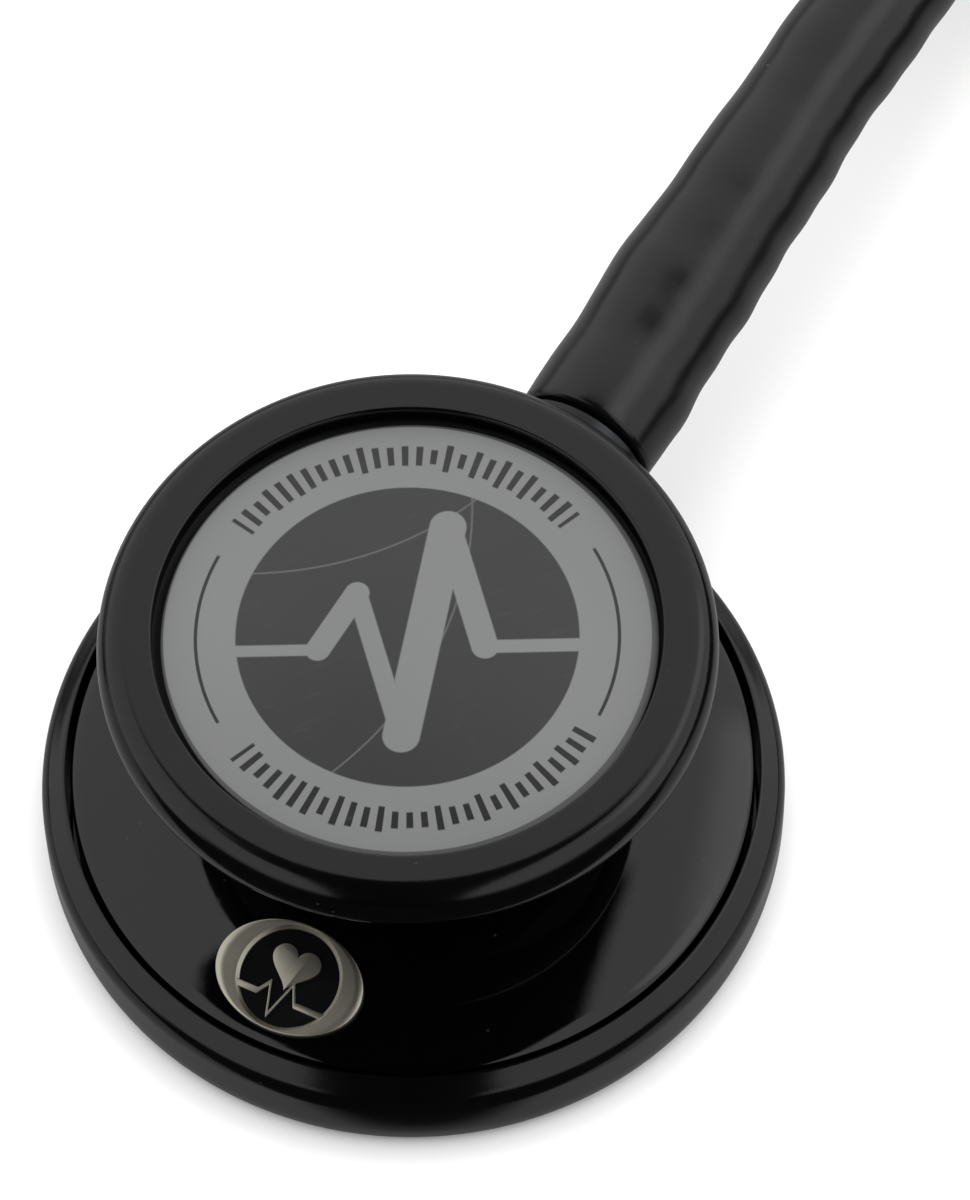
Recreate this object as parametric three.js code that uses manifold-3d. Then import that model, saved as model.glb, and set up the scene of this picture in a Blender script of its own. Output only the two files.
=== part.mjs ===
// A dual-sided acoustic stethoscope laid down for storage: a swivelling chestpiece, one hose folded
// back in a wide U, and a headset of two ear tubes. Millimetres, +Z up. The origin is on the surface
// that the stethoscope lies on, under the chestpiece's axis, and the hose leaves along +Y.

import * as THREE from "three";
import { mergeVertices } from "three/addons/utils/BufferGeometryUtils.js";
import Module from "manifold-3d";

const wasm = await Module();
wasm.setup();

// ---- Driving dimensions -------------------------------------------------------------------------

const GAP = 0.3; // left between two pieces that touch or fit together
const ROUND_SEGMENTS = 36;
const SMALL_SEGMENTS = 20;

// Chestpiece, about its vertical axis
const CHESTPIECE_HEIGHT = 24.6;
const STEM_HEIGHT = 14.3; // the stem's axis above the surface
const NECK_R = 10;
const PORT_R = 1.8; // sound passage between the stem and each side
const BELL_DEPTH = 2.4; // hollow behind each diaphragm

// Large side
const LARGE_RIM_R = 23.5;
const LARGE_RIM_WALL = 1.6;
const LARGE_RIM_HEIGHT = 7;
const LARGE_RIM_WIDEST = 2.8; // height of the rim's widest circle above its rest face
const LARGE_RIM_ROUND = 1.3; // width of the rounding towards the rest face
const LARGE_LIP = 1.3; // how far the lip reaches in past the wall
const LARGE_LIP_THICKNESS = 0.9;
const LARGE_DISC_RECESS = 0.2;
const LARGE_DISC_THICKNESS = 0.65;
const LARGE_BELL_R = 19;

// Small side
const SMALL_RIM_R = 18.9;
const SMALL_RIM_WALL = 2.1;
const SMALL_RIM_HEIGHT = 3.5;
const SMALL_RIM_WIDEST = 2.1; // depth of the rim's widest circle below its crest
const SMALL_RIM_ROUND = 0.5;
const SMALL_LIP = 1.5;
const SMALL_LIP_THICKNESS = 1.5;
const SMALL_DISC_RECESS = 1;
const SMALL_DISC_THICKNESS = 0.55;
const SMALL_BELL_R = 13.6;

// Parts that both sides share
const DISC_EDGE_GAP = 0.5;
const DISC_BEVEL = 0.2;
const SURROUND_THICKNESS = 0.4;
const SURROUND_WIDTH = 4; // ring of thin film that carries the diaphragm's edge

// Body between the sides
const FLANGE_BEVEL = 0.3;
const LOWER_FLARE_R = 12.5; // where the lower slope turns up into the neck
const UPPER_FLARE_R = 12.8;
const NECK_FILLET = 2.2;
const UPPER_FLANGE_THICKNESS = 1.5;

// Badge on the lower slope, opposite the hose
const BADGE_HALF_LENGTH = 4.8;
const BADGE_HALF_WIDTH = 3.5;
const BADGE_THICKNESS = 0.5;
const BADGE_MARGIN = 0.45; // from the slope's outer edge
const BADGE_TURN = THREE.MathUtils.degToRad(4.3); // about the chestpiece's axis

// Stem and what holds it, along +Y
const SPINDLE_R = 3.5;
const SPINDLE_BORE_R = 1.5;
const SPINDLE_RUNNING_GAP = 0.4;
const SPINDLE_END = -5.6;
const BOSS_WALL = 1.7;
const BOSS_START = 5;
const BOSS_END = 11.5;
const COLLAR_OVERHANG = 1; // the collar's radius past the bore's
const COLLAR_LENGTH = 1.8;
const STEM_NECK_R = 3.6;
const HOSE_STOP_LENGTH = 2.4;
const HOSE_STOP_END = 21.6;
const BARB_ROOT_R = 3.1;
const BARB_R = 3.5;
const BARB_COUNT = 3;
const BARB_LEAD = 1.6; // plain length before the first barb
const SEAL_OFFSET = 3.4; // each seal ring from the sound port
const SEAL_WIRE_R = 0.45;
const SEAL_GROOVE_WIDTH = 1.5;
const SEAL_GROOVE_DEPTH = 1;
const DETENT_Y = 6;
const DETENT_BALL_R = 0.8;
const DETENT_TRACK_DEPTH = 0.4;
const DETENT_HOLE_R = 1.15;
const DETENT_DIMPLE_R = 1.2;
const DETENT_SPRING_LENGTH = 1.3;
const DETENT_SPRING_WIRE_R = 0.16;
const DETENT_SPRING_TURNS = 3;
const COIL_STEPS = 10; // straight steps in one turn of the spring
const DETENT_SCREW_LENGTH = 0.9;
const DETENT_SCREW_R = 0.9;
const DRIVER_SLOT_WIDTH = 0.4;
const DRIVER_SLOT_DEPTH = 0.4;
const CLIP_Y = 9.1;
const CLIP_THICKNESS = 0.6;
const CLIP_GRIP = 0.4; // how deep the clip sits in the spindle
const CLIP_WIDTH = 1.1;
const CLIP_MOUTH = THREE.MathUtils.degToRad(70);

// Hose
const HOSE_R = 4.2;
const HOSE_STRETCH = 0.5; // added to the radius where the hose is pushed over the barbs
const HOSE_SIDES = 10;
const HOSE_STEPS = 22;

// Headset, lying beside the chestpiece
const HEADSET_X = -130;
const HEADSET_Y = 209;
const FORK_WALL = 0.25; // the fork's radius past the hose's
const FORK_COLLAR_LENGTH = 7;
const FORK_LENGTH = 14;
const FORK_CROTCH = 1; // thickness left between the two seats
const ARM_PIVOT = 16; // pivots from the fork's hose end
const ARM_ANGLE = THREE.MathUtils.degToRad(17);
const ARM_WALL = 1.2; // outside the ear tube's socket
const ARM_MOUTH_WALL = 0.8;
const ARM_LENGTH = 66;
const ARM_SOCKET_DEPTH = 26;
const LUMEN_R = 1.9;
const BALL_SEAT_GAP = 0.4;
const EAR_TUBE_R = 2.9;
const EAR_TUBE_BORE_R = 1.7;
const EAR_TUBE_STRAIGHT = 8; // straight length past the arm's mouth
const FERRULE_WALL = 0.7;
const FERRULE_LENGTH = 5;
const EAR_TIP_WALL = 1.9;
const EAR_TIP_LENGTH = 14.5;
const EAR_TIP_HOLE_R = 1.5;
const SPRING_WIRE_R = 0.6;
const SPRING_RISE = 3; // the spring's wire above the sound passages
const SPRING_REACH = 34; // along each arm

// The hose's centreline: straight out of the chestpiece, down to the surface, and back in a wide U.
const HOSE_ROUTE = [
  [0, 34.9, 14.3],
  [0, 46, 14.2],
  [0.1, 58, 13.6],
  [0.3, 72, 12],
  [0.7, 87, 9.4],
  [1.1, 102, 6.9],
  [1.3, 117, 5],
  [1.3, 132, 4.4],
  [1, 150, 4.3],
  [0.6, 168, 4.3],
  [0.2, 184, 4.3],
  [0, 196, 4.3],
  [0, 208, 4.3],
  [-5, 230.2, 4.3],
  [-19, 249, 4.3],
  [-40, 261.6, 4.3],
  [-65, 266, 4.3],
  [-90, 262.2, 4.3],
  [-111, 251.4, 4.3],
  [-125, 235.1, 4.3],
  [-130, 216, 4.4],
  [-130, 209.3, 4.45],
];

// An ear tube past its straight stretch: distance along the headset, distance from the headset's
// axis, and height above the headset's plane.
const EAR_TUBE_ROUTE = [
  [106, 33.2, 0],
  [130, 41, 0],
  [156, 48, 0],
  [180, 51.5, 0.2],
  [200, 50, 0.6],
  [214, 44.5, 1],
  [224, 36.5, 1.35],
  [230.5, 28, 1.65],
];

// ---- Shapes and booleans ------------------------------------------------------------------------

// A geometry as a solid that can be joined and cut.
function solidOf(geometry) {
  const bare = geometry.clone();
  bare.deleteAttribute("normal");
  bare.deleteAttribute("uv");
  const merged = mergeVertices(bare, 1e-3);
  const count = merged.attributes.position.count;
  const triVerts = merged.index
    ? new Uint32Array(merged.index.array)
    : Uint32Array.from({ length: count }, (_, i) => i);
  const vertProperties = new Float32Array(merged.attributes.position.array);
  return new wasm.Manifold(new wasm.Mesh({ numProp: 3, vertProperties, triVerts }));
}

// A solid as a geometry, with its normals.
function geometryOf(solid) {
  const mesh = solid.getMesh();
  const geometry = new THREE.BufferGeometry();
  geometry.setAttribute("position", new THREE.BufferAttribute(mesh.vertProperties, 3));
  geometry.setIndex(new THREE.BufferAttribute(mesh.triVerts, 1));
  geometry.computeVertexNormals();
  return geometry;
}

// A turned shape about Y. The outline is [radius, height] pairs that start and end on the axis, or
// a loop clear of it, which is closed here.
function turned(outline, segments = ROUND_SEGMENTS) {
  const points = outline.map(([r, h]) => new THREE.Vector2(r, h));
  const onAxis = points[0].x === 0 && points.at(-1).x === 0;
  if (!onAxis) points.push(points[0].clone());
  if (THREE.ShapeUtils.area(points) < 0) points.reverse();
  return new THREE.LatheGeometry(points, segments);
}

// The same about Z.
function turnedUpright(outline, segments = ROUND_SEGMENTS) {
  return turned(outline, segments).rotateX(Math.PI / 2);
}

// Points of an elliptical arc, both ends included. Angles are in degrees from the radial direction.
function arc(r, h, radiusR, radiusH, from, to, steps) {
  return Array.from({ length: steps + 1 }, (_, i) => {
    const angle = THREE.MathUtils.degToRad(from + ((to - from) * i) / steps);
    return [r + radiusR * Math.cos(angle), h + radiusH * Math.sin(angle)];
  });
}

// A rod between two points.
function rod(from, to, radius, segments = SMALL_SEGMENTS) {
  const start = new THREE.Vector3(...from);
  const span = new THREE.Vector3(...to).sub(start);
  const length = span.length();
  const turn = new THREE.Quaternion().setFromUnitVectors(
    new THREE.Vector3(0, 1, 0),
    span.normalize(),
  );
  return new THREE.CylinderGeometry(radius, radius, length, segments)
    .translate(0, length / 2, 0)
    .applyQuaternion(turn)
    .translate(start.x, start.y, start.z);
}

function ball(centre, radius) {
  return new THREE.SphereGeometry(radius, SMALL_SEGMENTS, SMALL_SEGMENTS / 2).translate(...centre);
}

// A round section swept along a curve, with a passage through it when boreRadius is given.
function swept(curve, radius, sides, steps, boreRadius = 0) {
  const circle = (r) =>
    Array.from({ length: sides }, (_, i) => {
      const angle = (2 * Math.PI * i) / sides;
      return new THREE.Vector2(r * Math.cos(angle), r * Math.sin(angle));
    });
  const section = new THREE.Shape(circle(radius));
  if (boreRadius > 0) section.holes.push(new THREE.Path(circle(boreRadius)));
  return new THREE.ExtrudeGeometry(section, { steps, extrudePath: curve, bevelEnabled: false });
}

function curveThrough(points) {
  return new THREE.CatmullRomCurve3(points.map((p) => new THREE.Vector3(...p)), false, "centripetal");
}

function joined(first, ...others) {
  return geometryOf(others.reduce((solid, g) => solid.add(solidOf(g)), solidOf(first)));
}

function cutFrom(first, ...cutters) {
  return geometryOf(cutters.reduce((solid, g) => solid.subtract(solidOf(g)), solidOf(first)));
}

// ---- Finishes -----------------------------------------------------------------------------------

const finish = (color, roughness, metalness) => () =>
  new THREE.MeshStandardMaterial({ color, roughness, metalness });

const glossBlack = finish(0x0b0b0c, 0.15, 0.3);
const softRimBlack = finish(0x262827, 0.5, 0);
const printedDisc = finish(0x8a8d8b, 0.35, 0.1);
const filmBlack = finish(0x1b1c1c, 0.6, 0);
const champagne = finish(0xb3aa98, 0.3, 0.9);
const blackSteel = finish(0x1d1e20, 0.3, 0.8);
const bareSteel = finish(0xb9bcc0, 0.25, 1);
const sealRubber = finish(0x141414, 0.7, 0);
const hoseBlack = finish(0x1f2121, 0.45, 0);
const smokeSteel = finish(0x2b2c2e, 0.25, 0.9);
const earTipGrey = finish(0x303132, 0.6, 0);

function part(name, geometry, material) {
  const mesh = new THREE.Mesh(geometry, material());
  mesh.name = name;
  return mesh;
}

// ---- Sizes that follow from the driving ones ----------------------------------------------------

const largeWallR = LARGE_RIM_R - LARGE_RIM_WALL;
const largeLipR = largeWallR - LARGE_LIP;
const largeFilmBottom = LARGE_LIP_THICKNESS + GAP;
const bodyBottom = largeFilmBottom + SURROUND_THICKNESS + GAP;
const largeFlangeR = largeWallR - GAP;
const flangeTop = LARGE_RIM_HEIGHT - 0.1;

const smallWallR = SMALL_RIM_R - SMALL_RIM_WALL;
const smallLipR = smallWallR - SMALL_LIP;
const smallDiscTop = CHESTPIECE_HEIGHT - SMALL_DISC_RECESS;
const smallFilmTop = smallDiscTop - SMALL_DISC_THICKNESS - GAP;
const bodyTop = smallFilmTop - SURROUND_THICKNESS - GAP;
const smallFlangeR = smallWallR - GAP;

const boreR = SPINDLE_R + SPINDLE_RUNNING_GAP;
const bossR = boreR + BOSS_WALL;
const collarR = boreR + COLLAR_OVERHANG;
const collarStart = BOSS_END + GAP;
const sealGrooveR = SPINDLE_R - SEAL_GROOVE_DEPTH;
const detentTrackR = SPINDLE_R - DETENT_TRACK_DEPTH;
const clipInnerR = SPINDLE_R - CLIP_GRIP;
const clipOuterR = clipInnerR + CLIP_WIDTH;

const cuffR = HOSE_R + HOSE_STRETCH;
const hoseStopR = cuffR - 0.1;
const cuffStart = HOSE_STOP_END + GAP;
const cuffEnd = HOSE_ROUTE[0][1] - GAP;
const barbEnd = cuffEnd - GAP;
const barbPitch = (barbEnd - HOSE_STOP_END - BARB_LEAD) / BARB_COUNT;

const forkR = HOSE_R + FORK_WALL;
const socketR = EAR_TUBE_R + GAP;
const armR = socketR + ARM_WALL;
const armEndR = socketR + ARM_MOUTH_WALL;
const armSpread = armR + BALL_SEAT_GAP + FORK_CROTCH / 2; // each pivot from the headset's axis
const forkHalfWidth = armSpread + armR - 0.5;
const ferruleR = EAR_TUBE_R + GAP + FERRULE_WALL;
const earTipSocketR = ferruleR + GAP;
const earTipR = earTipSocketR + EAR_TIP_WALL;

// The two slopes of the body end just clear of the stem's collar.
const lowerFlareTop = STEM_HEIGHT - collarR - GAP;
const upperFlareBottom = STEM_HEIGHT + collarR + GAP;
const slope = (lowerFlareTop - flangeTop) / (largeFlangeR - FLANGE_BEVEL - LOWER_FLARE_R);

// ---- Chestpiece ---------------------------------------------------------------------------------

// The spool that joins both sides, with a hollow behind each diaphragm, the sound port between them,
// the bore for the stem, and the cross hole for the detent.
function chestpieceBody() {
  const upperFlareTop = bodyTop - UPPER_FLANGE_THICKNESS;
  const filletR = NECK_R + NECK_FILLET;
  const outline = [
    [PORT_R, bodyBottom + BELL_DEPTH],
    [LARGE_BELL_R, bodyBottom + 0.4],
    [LARGE_BELL_R, bodyBottom],
    [largeFlangeR, bodyBottom],
    [largeFlangeR, flangeTop - FLANGE_BEVEL],
    [largeFlangeR - FLANGE_BEVEL, flangeTop],
    [LOWER_FLARE_R, lowerFlareTop],
    ...arc(filletR, lowerFlareTop + NECK_FILLET, NECK_FILLET, NECK_FILLET, 255, 180, 3),
    ...arc(filletR, upperFlareBottom - NECK_FILLET, NECK_FILLET, NECK_FILLET, 180, 105, 3),
    [UPPER_FLARE_R, upperFlareBottom],
    [smallFlangeR - FLANGE_BEVEL, upperFlareTop],
    [smallFlangeR, upperFlareTop + FLANGE_BEVEL],
    [smallFlangeR, bodyTop],
    [SMALL_BELL_R, bodyTop],
    [SMALL_BELL_R, bodyTop - 0.4],
    [PORT_R, bodyTop - BELL_DEPTH],
  ];
  const spool = turnedUpright(outline);
  const boss = rod([0, BOSS_START, STEM_HEIGHT], [0, BOSS_END, STEM_HEIGHT], bossR, ROUND_SEGMENTS);
  const bore = rod([0, SPINDLE_END - GAP, STEM_HEIGHT], [0, BOSS_END + 1, STEM_HEIGHT], boreR);
  const clipRoom = CLIP_THICKNESS / 2 + GAP;
  const clipGroove = rod(
    [0, CLIP_Y - clipRoom, STEM_HEIGHT],
    [0, CLIP_Y + clipRoom, STEM_HEIGHT],
    clipOuterR + GAP,
  );
  const detentHole = rod([0, DETENT_Y, STEM_HEIGHT], [NECK_R + 1, DETENT_Y, STEM_HEIGHT], DETENT_HOLE_R);
  return cutFrom(joined(spool, boss), bore, clipGroove, detentHole);
}

function largeRim() {
  const crown = LARGE_RIM_WALL - 0.3;
  const outline = [
    [largeWallR, LARGE_RIM_HEIGHT],
    ...arc(LARGE_RIM_R - crown, LARGE_RIM_WIDEST, crown, LARGE_RIM_HEIGHT - LARGE_RIM_WIDEST, 90, 0, 5),
    ...arc(LARGE_RIM_R - LARGE_RIM_ROUND, LARGE_RIM_WIDEST, LARGE_RIM_ROUND, LARGE_RIM_WIDEST, -22, -90, 3),
    [largeLipR + 0.3, 0],
    [largeLipR, 0.3],
    [largeLipR, LARGE_LIP_THICKNESS],
    [largeWallR, LARGE_LIP_THICKNESS],
  ];
  return turnedUpright(outline);
}

function smallRim() {
  const crest = smallLipR + 0.8;
  const widest = CHESTPIECE_HEIGHT - SMALL_RIM_WIDEST;
  const bottom = CHESTPIECE_HEIGHT - SMALL_RIM_HEIGHT;
  const outline = [
    [smallLipR, CHESTPIECE_HEIGHT - SMALL_LIP_THICKNESS],
    [smallLipR, CHESTPIECE_HEIGHT - 0.5],
    [smallLipR + 0.3, CHESTPIECE_HEIGHT - 0.1],
    ...arc(crest, widest, SMALL_RIM_R - crest, SMALL_RIM_WIDEST, 90, 0, 6),
    ...arc(SMALL_RIM_R - SMALL_RIM_ROUND, widest, SMALL_RIM_ROUND, widest - bottom, -30, -90, 2),
    [smallWallR, bottom],
    [smallWallR, CHESTPIECE_HEIGHT - SMALL_LIP_THICKNESS],
  ];
  return turnedUpright(outline);
}

// A stiff disc with its outer face at outerZ; facing is 1 for a face that looks up and -1 for down.
function diaphragm(radius, outerZ, thickness, facing) {
  return turnedUpright([
    [0, outerZ],
    [radius - DISC_BEVEL, outerZ],
    [radius, outerZ - facing * DISC_BEVEL],
    [radius, outerZ - facing * thickness],
    [0, outerZ - facing * thickness],
  ]);
}

// The thin ring of film behind a diaphragm's edge.
function surround(outerR, bottom) {
  return turnedUpright([
    [outerR - SURROUND_WIDTH, bottom],
    [outerR, bottom],
    [outerR, bottom + SURROUND_THICKNESS],
    [outerR - SURROUND_WIDTH, bottom + SURROUND_THICKNESS],
  ]);
}

// The oval badge lies along the lower slope, its long side across the slope.
function badge() {
  const outline = new THREE.Shape().absellipse(0, 0, BADGE_HALF_LENGTH, BADGE_HALF_WIDTH, 0, 2 * Math.PI);
  const plate = new THREE.ExtrudeGeometry(outline, {
    depth: BADGE_THICKNESS,
    bevelEnabled: false,
    curveSegments: SMALL_SEGMENTS,
  });
  const tilt = Math.atan(slope);
  const centreR = largeFlangeR - FLANGE_BEVEL - BADGE_MARGIN - BADGE_HALF_WIDTH * Math.cos(tilt);
  const surface = flangeTop + (largeFlangeR - FLANGE_BEVEL - centreR) * slope;
  plate.rotateX(tilt);
  plate.translate(0, -centreR - GAP * Math.sin(tilt), surface + GAP * Math.cos(tilt));
  return plate.rotateZ(BADGE_TURN);
}

function chestpiece() {
  const group = new THREE.Group();
  const largeDiscR = largeLipR - DISC_EDGE_GAP;
  const smallDiscR = smallLipR - DISC_EDGE_GAP;
  group.add(
    part("chestpiece_body", chestpieceBody(), glossBlack),
    part("rim_large", largeRim(), softRimBlack),
    part("diaphragm_large", diaphragm(largeDiscR, LARGE_DISC_RECESS, LARGE_DISC_THICKNESS, -1), printedDisc),
    part("surround_large", surround(largeFlangeR, largeFilmBottom), filmBlack),
    part("rim_small", smallRim(), softRimBlack),
    part("diaphragm_small", diaphragm(smallDiscR, smallDiscTop, SMALL_DISC_THICKNESS, 1), printedDisc),
    part("surround_small", surround(smallFlangeR, smallFilmTop - SURROUND_THICKNESS), filmBlack),
    part("badge", badge(), champagne),
  );
  return group;
}

// ---- Detent and stem ----------------------------------------------------------------------------

// Ball, spring and screw in the cross hole. They push on the spindle's track from +X.
function detent() {
  const group = new THREE.Group();
  group.position.set(0, DETENT_Y, STEM_HEIGHT);
  const ballX = detentTrackR + GAP + DETENT_BALL_R;
  const springStart = ballX + DETENT_BALL_R + GAP;
  const springEnd = springStart + DETENT_SPRING_LENGTH;
  const coilR = DETENT_HOLE_R - GAP - DETENT_SPRING_WIRE_R;
  const steps = DETENT_SPRING_TURNS * COIL_STEPS;
  const coil = Array.from({ length: steps + 1 }, (_, i) => {
    const angle = (2 * Math.PI * i) / COIL_STEPS;
    const x = springStart + ((springEnd - springStart) * i) / steps;
    return [x, coilR * Math.cos(angle), coilR * Math.sin(angle)];
  });
  const screwStart = springEnd + GAP;
  const screwEnd = screwStart + DETENT_SCREW_LENGTH;
  const slot = new THREE.BoxGeometry(DRIVER_SLOT_DEPTH * 2, DETENT_SCREW_R * 3, DRIVER_SLOT_WIDTH);
  slot.translate(screwEnd, 0, 0);
  const screw = rod([screwStart, 0, 0], [screwEnd, 0, 0], DETENT_SCREW_R);
  group.add(
    part("detent_ball", new THREE.SphereGeometry(DETENT_BALL_R, 12, 8).translate(ballX, 0, 0), bareSteel),
    part("detent_spring", swept(curveThrough(coil), DETENT_SPRING_WIRE_R, 6, steps), bareSteel),
    part("detent_screw", cutFrom(screw, slot), blackSteel),
  );
  return group;
}

// The turned stem: spindle with seal, detent and clip grooves, collar, hose stop and barbs.
function stem() {
  const groove = (y, width, r) => [
    [SPINDLE_R, y - width / 2],
    [r, y - width / 2],
    [r, y + width / 2],
    [SPINDLE_R, y + width / 2],
  ];
  const barbs = Array.from({ length: BARB_COUNT }, (_, i) => {
    const start = HOSE_STOP_END + BARB_LEAD + barbPitch * i;
    return [
      [BARB_ROOT_R, start],
      [BARB_R, start + 0.3],
      [BARB_R, start + 0.9],
      [BARB_ROOT_R, start + barbPitch],
    ];
  }).flat();
  const outline = [
    [0, SPINDLE_END],
    [SPINDLE_R, SPINDLE_END],
    ...groove(-SEAL_OFFSET, SEAL_GROOVE_WIDTH, sealGrooveR),
    ...groove(SEAL_OFFSET, SEAL_GROOVE_WIDTH, sealGrooveR),
    ...groove(DETENT_Y, 2 * DETENT_BALL_R, detentTrackR),
    ...groove(CLIP_Y, CLIP_THICKNESS + 2 * GAP, clipInnerR - GAP),
    [SPINDLE_R, collarStart],
    [collarR, collarStart],
    [collarR, collarStart + COLLAR_LENGTH],
    [STEM_NECK_R, collarStart + COLLAR_LENGTH],
    [STEM_NECK_R, HOSE_STOP_END - HOSE_STOP_LENGTH],
    [hoseStopR, HOSE_STOP_END - HOSE_STOP_LENGTH],
    [hoseStopR, HOSE_STOP_END],
    [BARB_ROOT_R, HOSE_STOP_END],
    ...barbs,
    [SPINDLE_BORE_R, barbEnd],
    [SPINDLE_BORE_R, -SPINDLE_BORE_R],
    [0, -SPINDLE_BORE_R],
  ];
  const dimpleX = detentTrackR + DETENT_DIMPLE_R - GAP;
  return cutFrom(
    turned(outline, SMALL_SEGMENTS),
    rod([0, 0, 0], [0, 0, -2 * SPINDLE_R], SPINDLE_BORE_R),
    ball([dimpleX, DETENT_Y, 0], DETENT_DIMPLE_R),
    ball([-dimpleX, DETENT_Y, 0], DETENT_DIMPLE_R),
  );
}

function sealRing() {
  const centreR = sealGrooveR + SEAL_WIRE_R + GAP;
  return turned(arc(centreR, 0, SEAL_WIRE_R, SEAL_WIRE_R, 0, 300, 5), SMALL_SEGMENTS);
}

// An open ring that snaps into the stem's outermost groove.
function retainingClip() {
  const half = CLIP_MOUTH / 2;
  const outline = new THREE.Shape();
  outline.absarc(0, 0, clipOuterR, half, 2 * Math.PI - half, false);
  outline.absarc(0, 0, clipInnerR, 2 * Math.PI - half, half, true);
  return new THREE.ExtrudeGeometry(outline, {
    depth: CLIP_THICKNESS,
    bevelEnabled: false,
    curveSegments: SMALL_SEGMENTS,
  })
    .translate(0, 0, -CLIP_THICKNESS / 2)
    .rotateX(-Math.PI / 2);
}

// The hose's end, stretched over the barbs.
function hoseCuff() {
  return turned([
    [BARB_R + GAP, cuffStart],
    [cuffR - 0.3, cuffStart],
    [cuffR, cuffStart + 0.4],
    [cuffR, barbEnd - barbPitch],
    [HOSE_R, cuffEnd],
    [BARB_R + GAP, cuffEnd],
  ]);
}

function stemAssembly() {
  const group = new THREE.Group();
  group.position.z = STEM_HEIGHT;
  const innerSeal = part("seal_ring_inner", sealRing(), sealRubber);
  innerSeal.position.y = -SEAL_OFFSET;
  const outerSeal = part("seal_ring_outer", sealRing(), sealRubber);
  outerSeal.position.y = SEAL_OFFSET;
  const clip = part("retaining_clip", retainingClip(), bareSteel);
  clip.position.y = CLIP_Y;
  group.add(part("stem", stem(), blackSteel), innerSeal, outerSeal, clip);
  group.add(part("hose_cuff", hoseCuff(), hoseBlack));
  return group;
}

// ---- Headset ------------------------------------------------------------------------------------
// Its own frame: +Y runs along the headset from the hose to the ear tips, X is to the sides.
// side is 1 or -1.

const pivotOf = (side) => new THREE.Vector3(side * armSpread, ARM_PIVOT, 0);
const armDirection = (side) =>
  new THREE.Vector3(side * Math.sin(ARM_ANGLE), Math.cos(ARM_ANGLE), 0);
const alongArm = (side, distance) =>
  pivotOf(side).add(armDirection(side).multiplyScalar(distance));

// The bowed spring wire runs from arm to arm through the fork, above the sound passages.
function springCurve() {
  const reach = (side, distance) => {
    const p = alongArm(side, distance);
    return [p.x, p.y, SPRING_RISE];
  };
  return curveThrough([
    reach(1, SPRING_REACH),
    reach(1, SPRING_REACH / 2),
    reach(1, 3),
    [armSpread * 0.55, ARM_PIVOT - 7, SPRING_RISE],
    [0, ARM_PIVOT - 9.5, SPRING_RISE],
    [-armSpread * 0.55, ARM_PIVOT - 7, SPRING_RISE],
    reach(-1, 3),
    reach(-1, SPRING_REACH / 2),
    reach(-1, SPRING_REACH),
  ]);
}

const springWire = (radius) => swept(springCurve(), radius, 6, 28);

// The moulded fork where the hose divides, with a round seat for each arm.
function fork() {
  const collar = turned([
    [0, 0],
    [forkR - 0.4, 0],
    [forkR, 0.4],
    [forkR, FORK_COLLAR_LENGTH],
    [forkR - 1, FORK_COLLAR_LENGTH + 3],
    [0, FORK_COLLAR_LENGTH + 3],
  ]);
  const outline = new THREE.Shape();
  outline.moveTo(-forkR + 0.2, FORK_COLLAR_LENGTH - 4);
  outline.lineTo(forkR - 0.2, FORK_COLLAR_LENGTH - 4);
  outline.quadraticCurveTo(forkR + 0.6, FORK_COLLAR_LENGTH + 2, forkHalfWidth, FORK_LENGTH);
  outline.lineTo(-forkHalfWidth, FORK_LENGTH);
  outline.quadraticCurveTo(-forkR - 0.6, FORK_COLLAR_LENGTH + 2, -forkR + 0.2, FORK_COLLAR_LENGTH - 4);
  const web = new THREE.ExtrudeGeometry(outline, {
    depth: 2 * (armR - 1),
    bevelThickness: 1,
    bevelSize: 1,
    bevelOffset: -1,
    bevelSegments: 2,
    curveSegments: 6,
  }).translate(0, 0, 1 - armR);
  const sides = [1, -1];
  const seats = sides.map((side) => ball(pivotOf(side).toArray(), armR + BALL_SEAT_GAP));
  const branches = sides.map((side) => rod([0, 4, 0], pivotOf(side).toArray(), LUMEN_R));
  const trunk = rod([0, -1, 0], [0, 6, 0], LUMEN_R);
  return cutFrom(joined(collar, web), trunk, ...branches, ...seats, springWire(SPRING_WIRE_R + GAP));
}

// A hollow flexible arm: a round end in the fork's seat, and a socket for the ear tube.
function arm(side) {
  const socketStart = ARM_LENGTH - ARM_SOCKET_DEPTH;
  const roundEnd = arc(0, 0, armR, armR, -60, 0, 5);
  const shape = turned([
    [LUMEN_R, -Math.sqrt(armR ** 2 - LUMEN_R ** 2)],
    ...roundEnd,
    [armR, socketStart],
    [armEndR, ARM_LENGTH - 0.6],
    [armEndR - 0.4, ARM_LENGTH],
    [socketR, ARM_LENGTH],
    [socketR, socketStart],
    [LUMEN_R, socketStart - 2],
  ], SMALL_SEGMENTS);
  const pivot = pivotOf(side);
  shape.rotateZ(-side * ARM_ANGLE).translate(pivot.x, pivot.y, pivot.z);
  return cutFrom(shape, springWire(SPRING_WIRE_R + GAP));
}

function earTubeCurve(side) {
  const straight = [ARM_SOCKET_DEPTH - 1, ARM_SOCKET_DEPTH / 2, 0].map((back) =>
    alongArm(side, ARM_LENGTH - back).toArray(),
  );
  const past = alongArm(side, ARM_LENGTH + EAR_TUBE_STRAIGHT).toArray();
  const bent = EAR_TUBE_ROUTE.map(([along, across, up]) => [side * across, along, up]);
  return curveThrough([...straight, past, ...bent]);
}

// Places a shape turned about Y on the end of an ear tube, pointing the way the tube points.
function onTubeEnd(mesh, side) {
  const curve = earTubeCurve(side);
  mesh.position.copy(curve.getPointAt(1));
  mesh.quaternion.setFromUnitVectors(new THREE.Vector3(0, 1, 0), curve.getTangentAt(1));
  return mesh;
}

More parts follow.
